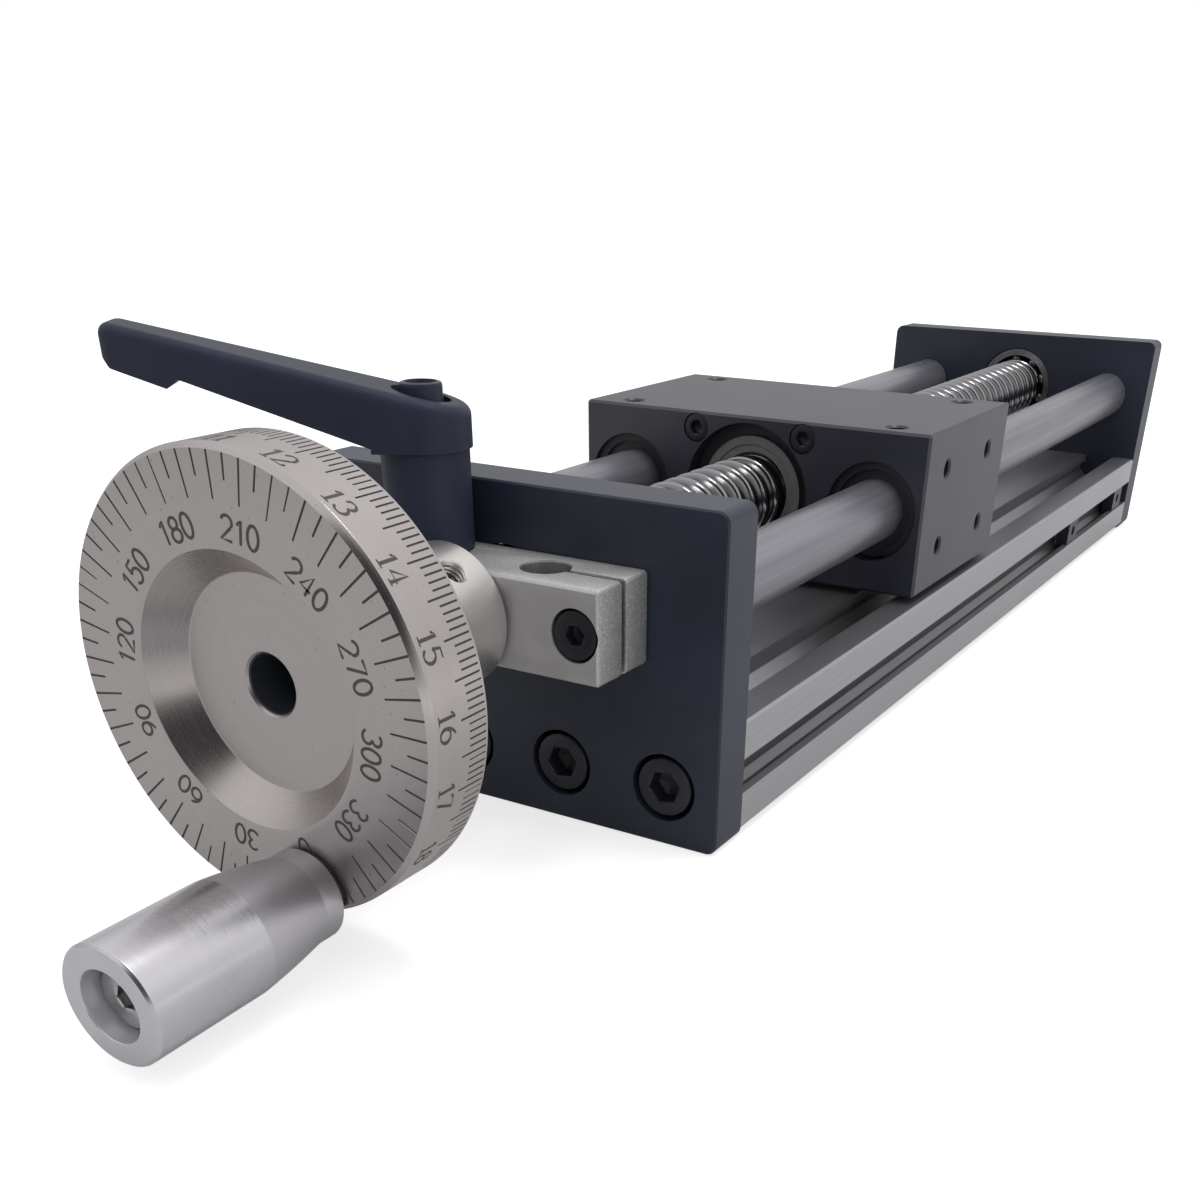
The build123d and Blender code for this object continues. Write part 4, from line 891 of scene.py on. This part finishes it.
# x = along + lead * theta / 2 pi; radius = ball track below the land, from its distance along the axis
def makeScrew():
    start, end = plateHigh[0] + thread["faceGap"], rearLow[0] - thread["faceGap"]
    lead, ball, root = thread["lead"], thread["trackRadius"], screwRadius - thread["depth"]
    centre = root + ball
    halfTrack = np.sqrt(ball ** 2 - (centre - screwRadius) ** 2)
    track = np.linspace(-1, 1, thread["trackRows"]) * halfTrack
    trackRow = np.stack([track, centre - np.sqrt(ball ** 2 - track ** 2)], -1)
    land = np.linspace(halfTrack, lead - halfTrack, thread["landRows"] + 2)[1:-1]
    across = (land - lead / 2) / (lead / 2 - halfTrack)
    landRow = np.stack([land, screwRadius - thread["crown"] * np.abs(across) ** thread["crownShape"]], -1)
    trackRow[[0, -1], 1] = screwRadius - thread["crown"]
    turn = np.concatenate([trackRow, landRow])
    turns = int(np.ceil((end - start) / lead)) + 2
    along = np.concatenate([turn[:, 0] + k * lead for k in range(turns)]) + start - lead
    theta = np.linspace(0, 2 * pi, thread["columns"] + 1)
    x = along[:, None] + lead * theta[None, :] / (2 * pi)
    r = np.repeat(np.tile(turn[:, 1], turns)[:, None], len(theta), 1)
    r = np.where((x < start) | (x > end), root, r)
    helix = np.stack([np.clip(x, start, end), r * np.cos(theta), axisHeight + r * np.sin(theta)], -1)
    frontRing, rearRing = span("front_bearing_inner_ring")[1][0], span("rear_bearing_inner_ring")[0][0]
    shoulder, journal, drive = thread["shoulderRadius"], thread["journalRadius"], thread["driveRadius"]
    bevel = thread["endBevel"]
    front = [(start, root), (start, shoulder), (frontRing, shoulder), (frontRing, journal)]
    front += [(plateLow[0] + bevel, journal), (plateLow[0] + bevel, drive)]
    front += [(screwLow[0] + bevel, drive), (screwLow[0], drive - bevel), (screwLow[0], 0)]
    rear = [(end, root), (end, shoulder), (rearRing, shoulder), (rearRing, journal)]
    rear += [(screwHigh[0] - bevel, journal), (screwHigh[0], journal - bevel), (screwHigh[0], 0)]
    grids = [(helix, False, False)]
    for profile in (front, rear):
        grids.append((turned(profile, screwAxis, evenAngles(thread["columns"])), False, True))
    makePiece("ballScrewThread", grids, "drive", "ground_steel", "ball_screw", 40.0)


makeScrew()
print("ball screw made")

# Guide rods: plain ground bars with bevelled ends
rod = {"columns": 160, "endBevel": 0.8 * mm}


def makeRod(name, node):
    low, high = span(node)
    radius, bevel = (high[2] - low[2]) / 2, rod["endBevel"]
    profile = [(low[0], 0), (low[0], radius - bevel), (low[0] + bevel, radius)]
    profile += [(high[0] - bevel, radius), (high[0], radius - bevel), (high[0], 0)]
    grid = turned(profile, (0, (low[1] + high[1]) / 2, axisHeight), evenAngles(rod["columns"]))
    makePiece(name, [(grid, False, True)], "frame", "ground_rod", node)


makeRod("groundRodLeft", "guide_rod_left")
makeRod("groundRodRight", "guide_rod_right")
print("rods made")


# Radius of a hexagon, width across flats key, in direction theta: key / 2 over the cosine from its flat
def hexRadius(theta, key):
    return key / 2 / np.cos(np.mod(theta + pi / 6, pi / 3) - pi / 6)


# Shares and small sizes that all the screws' sockets and edges have
screwShape = {
    "floorShare": 0.97,  # of the socket's width, at its floor
    "drill": 0.35,  # the drill point below it, as a share of the corners' radius
    "mouth": 0.12 * mm, "mouthBevel": 0.08 * mm, "rim": 0.2 * mm, "shankBevel": 0.3 * mm,
    "headBevel": 0.1 * mm,  # under the head
    "turn": (0.35, 1.1),  # of the first socket, and more for each further one
}


# Socket head screw as rows of (along, radius): along is outwards from the face of the head
def screwGrid(centre, outward, sideways, size, columns=96):
    theta = evenAngles(columns)
    hexagon = hexRadius(theta, size["key"])
    corner = size["key"] / np.sqrt(3)
    around = np.ones(columns)
    flutes = 1 + size.get("flute", 0.0) * np.cos(columns / 2 * theta)
    bevel, radius, shank = size["bevel"], size["headRadius"], size["shankRadius"]
    under = -size["headHeight"]
    tip, tipBevel = under - size["shankLength"], screwShape["shankBevel"]
    dish = size.get("dish", 0.0)
    dishRadius = size.get("dishRadius", corner + screwShape["rim"]) * around
    floor = -dish - size["keyDepth"]
    rows = [
        (floor - screwShape["drill"] * corner, 0 * around),
        (floor, hexagon * screwShape["floorShare"]),
        (-dish - screwShape["mouth"], hexagon),
        (-dish, np.maximum(hexagon, corner * 0.985) + screwShape["mouthBevel"]),
        (-dish, dishRadius - min(dish, 0.15 * mm)),
        (0, dishRadius),
        (0, (radius - bevel) * around),
        (-0.3 * bevel, (radius - 0.3 * bevel) * around),
        (-bevel, radius * around),
        (-bevel - screwShape["rim"], radius * flutes),
        (under + screwShape["headBevel"], radius * flutes),
        (under, (radius - screwShape["headBevel"]) * around),
        (under, shank * around),
        (tip + tipBevel, shank * around),
        (tip, (shank - tipBevel) * around),
        (tip, 0 * around),
    ]
    outward, sideways = np.array(outward, float), np.array(sideways, float)
    third = np.cross(outward, sideways)
    along = np.array([row[0] for row in rows])[:, None, None]
    reach = np.stack([row[1] for row in rows])[..., None]
    turn = np.cos(theta)[:, None] * sideways + np.sin(theta)[:, None] * third
    return np.array(centre) + along * outward + reach * turn[None]


screwSizes = ("key", "keyDepth", "bevel", "headRadius", "headHeight", "shankRadius", "shankLength")


# Sizes of a screw from its values in mm, and whatever else it has
def screwOf(*values, **more):
    return {name: value * mm for name, value in zip(screwSizes, values)} | more


# Plate screws, nut screws, block screw, grip pin and set screws, each seated as the CAD model has it
plateScrew = screwOf(5.0, 3.0, 0.45, 5.0, 6.0, 3.0, 16.8, flute=0.008)
nutScrew = screwOf(2.5, 1.5, 0.25, 2.75, 3.0, 1.5, 48.8, flute=0.01)
blockScrew = screwOf(3.0, 2.0, 0.3, 3.7, 4.75, 2.0, 12.6, flute=0.01, sink=0.25 * mm)
gripPin = screwOf(3.0, 1.8, 0.35, 4.3, 3.4, 2.99, 28.75, flute=0.008)
setScrew = screwOf(2.0, 1.4, 0.3, 1.9, 4.4, 1.4, 0.4, sink=2.0 * mm)


def makeScrews(name, node, size, places, face, outward, body, slot="black_oxide_screw", materials=None):
    grids = []
    first, further = screwShape["turn"]
    for index, (y, z) in enumerate(places):
        sideways = (0, cos(first + further * index), sin(first + further * index))
        grids.append((screwGrid((face, y, z), (outward, 0, 0), sideways, size), False, True))
    makePiece(name, grids, body, slot, node, 30.0, materials)


# Middles of the heads at the corners of a node's box, or at the ends of its row
def screwPlaces(node, radius):
    low, high = span(node)
    oneRow = high[2] - low[2] < 2.5 * radius
    heights = (low[2] + radius,) if oneRow else (low[2] + radius, high[2] - radius)
    return [(y, z) for y in (low[1] + radius, high[1] - radius) for z in heights]


# A row of four: the outer two, and two a third as far out
outerTwo = screwPlaces("front_plate_screws", plateScrew["headRadius"])
plateRow = [(y * share, z) for y, z in outerTwo for share in (1.0, 1 / 3)]
nutPlaces = screwPlaces("nut_screws", nutScrew["headRadius"])
blockPlaces = [(sum(place[1] for place in span("clamp_block_screw")) / 2, axisHeight)]
blockFace = blockLow[0] + blockScrew["sink"]
frontFace, rearFace = span("front_plate_screws")[0][0], span("rear_plate_screws")[1][0]
makeScrews("frontPlateScrews", "front_plate_screws", plateScrew, plateRow, frontFace, -1, "frame")
makeScrews("rearPlateScrews", "rear_plate_screws", plateScrew, plateRow, rearFace, 1, "frame")
makeScrews("nutScrews", "nut_screws", nutScrew, nutPlaces, span("nut_screws")[0][0], -1, "carriage")
makeScrews("blockScrew", "clamp_block_screw", blockScrew, blockPlaces, blockFace, -1, "frame")
makeScrews(
    "gripPin", "grip_pin", gripPin, [tuple(gripCentre[1:])], span("grip_pin")[0][0], -1, "drive",
    "ground_steel", [pinSteel],
)


def makeSetScrews():
    grids = []
    middle = np.array([wheelHigh[0] - wheel["holeSetback"], 0, axisHeight])
    for angle in wheel["holeAngles"]:
        outward = np.array([0, cos(radians(angle)), sin(radians(angle))])
        centre = middle + outward * (wheel["hubRadius"] - setScrew["sink"])
        grids.append((screwGrid(centre, outward, (1, 0, 0), setScrew, 48), False, True))
    makePiece("hubSetScrews", grids, "drive", "black_oxide_screw", "hub_set_screws", 30.0)


makeSetScrews()
print("screws made")


# A copy of a CAD node's mesh, with its doubled points merged
def mergedCopy(node):
    mesh = nodes[node].data.copy()
    work = bmesh.new()
    work.from_mesh(mesh)
    bmesh.ops.remove_doubles(work, verts=work.verts, dist=1e-6)
    return mesh, work


# Clamp block: the CAD node's own mesh, merged, with every sharp edge bevelled
blockEdges = {"width": 0.18 * mm, "segments": 2, "flat": 1.0, "sharp": 35.0}  # angles in degrees


def makeBlock():
    mesh, work = mergedCopy("shaft_clamp_block")
    flat = radians(blockEdges["flat"])
    bmesh.ops.dissolve_limit(work, angle_limit=flat, verts=work.verts, edges=work.edges)
    edges = [edge for edge in work.edges if edge.calc_face_angle(0.0) > radians(blockEdges["sharp"])]
    bmesh.ops.bevel(
        work, geom=edges, offset=blockEdges["width"], segments=blockEdges["segments"], profile=0.5,
        affect="EDGES", clamp_overlap=True,
    )
    work.to_mesh(mesh)
    work.free()
    placeMesh("clampBlockBody", mesh, "frame", 30.0, "shaft_clamp_block")


makeBlock()
print("clamp block made")


def makeSpring():
    mesh, work = mergedCopy("lever_spring")
    work.to_mesh(mesh)
    work.free()
    spring = placeMesh("leverSpringCoil", mesh, "stud", 60.0, "lever_spring")
    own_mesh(spring)


makeSpring()
print("spring made")

# Crank grip: straight body, waist beside the wheel, sunk bore for the head of its pin
grip = {
    "radius": 8.35 * mm, "waistRadius": 6.7 * mm, "middleRadius": 7.6 * mm, "straight": 19.0 * mm,
    "middle": 25.2 * mm, "waist": 3.6 * mm, "bevel": 0.4 * mm, "sinkRadius": 5.0 * mm,
    "sinkDepth": 6.0 * mm, "boreRadius": 3.06 * mm, "swellRows": 13, "columns": 144,
}


# Points on the circle through three points: its middle is where their upright bisectors meet
def arcThrough(first, between, last, count):
    first, between, last = (np.array(point, float) for point in (first, between, last))
    sides = np.stack([between - first, last - first]) * 2
    middle = np.linalg.solve(sides, [between @ between - first @ first, last @ last - first @ first])
    angles = np.linspace(*[np.arctan2(*(point - middle)[::-1]) for point in (first, last)], count)
    return middle + np.linalg.norm(first - middle) * np.stack([np.cos(angles), np.sin(angles)], -1)


# A straight body, an arc that narrows from its crease to the waist, and the waist beside the wheel
def makeGrip():
    low, high = gripLow[0], gripHigh[0]
    radius, waist, bevel = grip["radius"], grip["waistRadius"], grip["bevel"]
    start, end = low + grip["straight"], high - grip["waist"]
    middle = (low + grip["middle"], grip["middleRadius"])
    swell = arcThrough((start, radius), middle, (end, waist), grip["swellRows"])
    bore, sinkRadius, sinkFloor = grip["boreRadius"], grip["sinkRadius"], low + grip["sinkDepth"]
    corners = [(high, bore + 0.5 * mm), (high, bore), (sinkFloor, bore), (sinkFloor, sinkRadius)]
    corners += [(low, sinkRadius), (low, radius - bevel), (low + bevel, radius), (start - 0.1 * mm, radius)]
    inner = rounded(corners, [0, 0, 0, 0.1 * mm, 0.2 * mm, 0.1 * mm, 0.2 * mm, 0], 3)
    corners = [(end + 0.1 * mm, waist), (high - bevel, waist), (high, waist - bevel)]
    tail = rounded([*corners, (high, waist - bevel - 0.3 * mm)], [0, 0.15 * mm, 0.15 * mm, 0], 3)
    grid = turned(np.concatenate([inner, swell, tail]), (0, *gripCentre[1:]), evenAngles(grip["columns"]))
    makePiece("turnedGripBody", [(grid, True, True)], "grip", "turned_grip", "crank_grip", 4.0)


makeGrip()
print("grip made")

# Wide dished head of the screw on top of the lever
buttonHead, buttonTurn = 3.2 * mm, 0.4
buttonSize = dict(
    key=3.0 * mm, keyDepth=1.6 * mm, bevel=0.45 * mm, headRadius=(buttonHigh[0] - buttonLow[0]) / 2,
    headHeight=buttonHead, dish=0.5 * mm, dishRadius=2.4 * mm, shankRadius=1.75 * mm,
    shankLength=buttonHigh[2] - buttonLow[2] - buttonHead,
)


def makeButton():
    place = (buttonCentre[0], buttonCentre[1], buttonHigh[2])
    grid = screwGrid(place, (0, 0, 1), (cos(buttonTurn), sin(buttonTurn), 0), buttonSize)
    makePiece("leverButtonHead", [(grid, False, True)], "stud", "lever_button", "lever_screw")


makeButton()
print("button made")

# Stage: a pale floor under the plates and a white surround, softer to the front than above and at the right
floorHeight = float(cadLow[2])
stage = {
    "floorHalf": 3.0, "floorColour": (0.60, 0.60, 0.60), "roughness": 0.9, "specular": 0.1,
    "cameraLift": 0.64, "mirrorFront": 0.04, "mirrorRight": 0.48, "mirrorReach": 0.5,
    "top": {"place": (0.15, -0.25, 0.95), "size": 0.30, "power": 2.0},
}
stageMiddle = Vector((0.10, 0.0, 0.03))
surround = {
    "level": 0.50, "above": 0.50, "right": 0.20, "back": 0.10, "reach": 0.9,
    "dim": 0.95,  # a dark place in the studio, which only mirrored light sees
    "dimWay": (-0.68, -0.52, 0.52), "dimEdge": (0.80, 0.93),
}


# The kinds of ray that see the background, as 0 or 1: straight from the camera, and mirrored or passed on
def rays(tree):
    path = addNode(tree, "ShaderNodeLightPath")
    mirrored = path[rayKinds["glossy"]].math("MAXIMUM", path[rayKinds["transmission"]])
    return path[rayKinds["camera"]], mirrored


def makeFloor():
    half = stage["floorHalf"]
    across = np.array([-half, half])
    grid = np.stack(np.meshgrid(across, across, indexing="ij") + [np.full((2, 2), floorHeight)], -1)
    mesh = bpy.data.meshes.new("floor")
    mesh.from_pydata(grid.reshape(-1, 3).tolist(), [], [[0, 2, 3, 1]])
    material, tree, place = startFinish("floorPaper")
    camera, mirrored = rays(tree)
    right = (0.0 - parts(tree, place)[1]).ramp(0.0, stage["mirrorReach"])
    right = right * stage["mirrorRight"] + stage["mirrorFront"]
    glow = camera * stage["cameraLift"] + (1.0 - camera) * mirrored * right
    shader = tree.nodes["Principled BSDF"]
    colour = addNode(tree, "ShaderNodeCombineColor", {}, glow, glow, glow)[0]
    plug(shader.inputs["Emission Color"], colour)
    plug(shader.inputs["Emission Strength"], 1.0)
    endFinish(material, stage["floorColour"], stage["roughness"], specular=stage["specular"])
    mesh.materials.append(material)
    return newObject("floor", mesh)


makeFloor()


def makeLight(name):
    setting = stage[name]
    data = bpy.data.lights.new(name + "Light", "AREA")
    data.shape = "DISK"
    data.size = setting["size"]
    data.energy = setting["power"]
    light = newObject(name + "Light", data)
    light.location = setting["place"]
    light.rotation_euler = (stageMiddle - light.location).to_track_quat("-Z", "Y").to_euler()


makeLight("top")


# Light from direction (x, y, z): level + above * ramp(z) + right * ramp(-y) + back * ramp(x), and 1 to the
# camera
def makeSurround():
    world = bpy.data.worlds.new("surround")
    bpy.context.scene.world = world
    world.use_nodes = True
    tree = world.node_tree
    tree.nodes.clear()
    x, y, z = parts(tree, addNode(tree, "ShaderNodeTexCoord")[coordinates["generated"]])
    level = surround["level"]
    for way, key in ((z, "above"), (0.0 - y, "right"), (x, "back")):
        level = way.ramp(0.0, surround["reach"]) * surround[key] + level
    wayX, wayY, wayZ = surround["dimWay"]
    dim = (x * wayX + y * wayY + z * wayZ).ramp(*surround["dimEdge"]) * surround["dim"]
    camera, mirrored = rays(tree)
    value = camera + (1.0 - camera) * (1 - dim * mirrored) * level.math("MINIMUM", 1.0)
    colour = addNode(tree, "ShaderNodeCombineColor", {}, value, value, value)[0]
    background = addNode(tree, "ShaderNodeBackground", {}, colour, 1.0)[0]
    output = tree.nodes.new("ShaderNodeOutputWorld")
    plug(output.inputs["Surface"], background)


makeSurround()
print("stage made")

# Camera, as solved from the photo's straight edges and circles
view = {
    "place": (-177.60 * mm, -127.67 * mm, 97.23 * mm), "yaw": 30.642, "pitch": -32.276, "roll": 0.609,
    "lens": 39.42, "sensor": 36.0, "shift": (-0.0297, 0.3216), "nearest": 10.0 * mm,
}


def makeCamera():
    yaw, pitch, roll = (radians(view[key]) for key in ("yaw", "pitch", "roll"))
    ahead = Vector((cos(pitch) * cos(yaw), cos(pitch) * sin(yaw), sin(pitch)))
    level = ahead.cross(Vector((0, 0, 1))).normalized()
    upright = level.cross(ahead)
    right = level * cos(roll) + upright * sin(roll)
    up = upright * cos(roll) - level * sin(roll)
    data = bpy.data.cameras.new("camera")
    data.lens = view["lens"]
    data.sensor_width = view["sensor"]
    data.shift_x, data.shift_y = view["shift"]
    data.clip_start = view["nearest"]
    camera = newObject("camera", data)
    turn = Matrix((right, up, -ahead)).transposed().to_4x4()
    camera.matrix_world = Matrix.Translation(Vector(view["place"])) @ turn
    bpy.context.scene.camera = camera


makeCamera()
bpy.context.scene.view_settings.view_transform = "Standard"
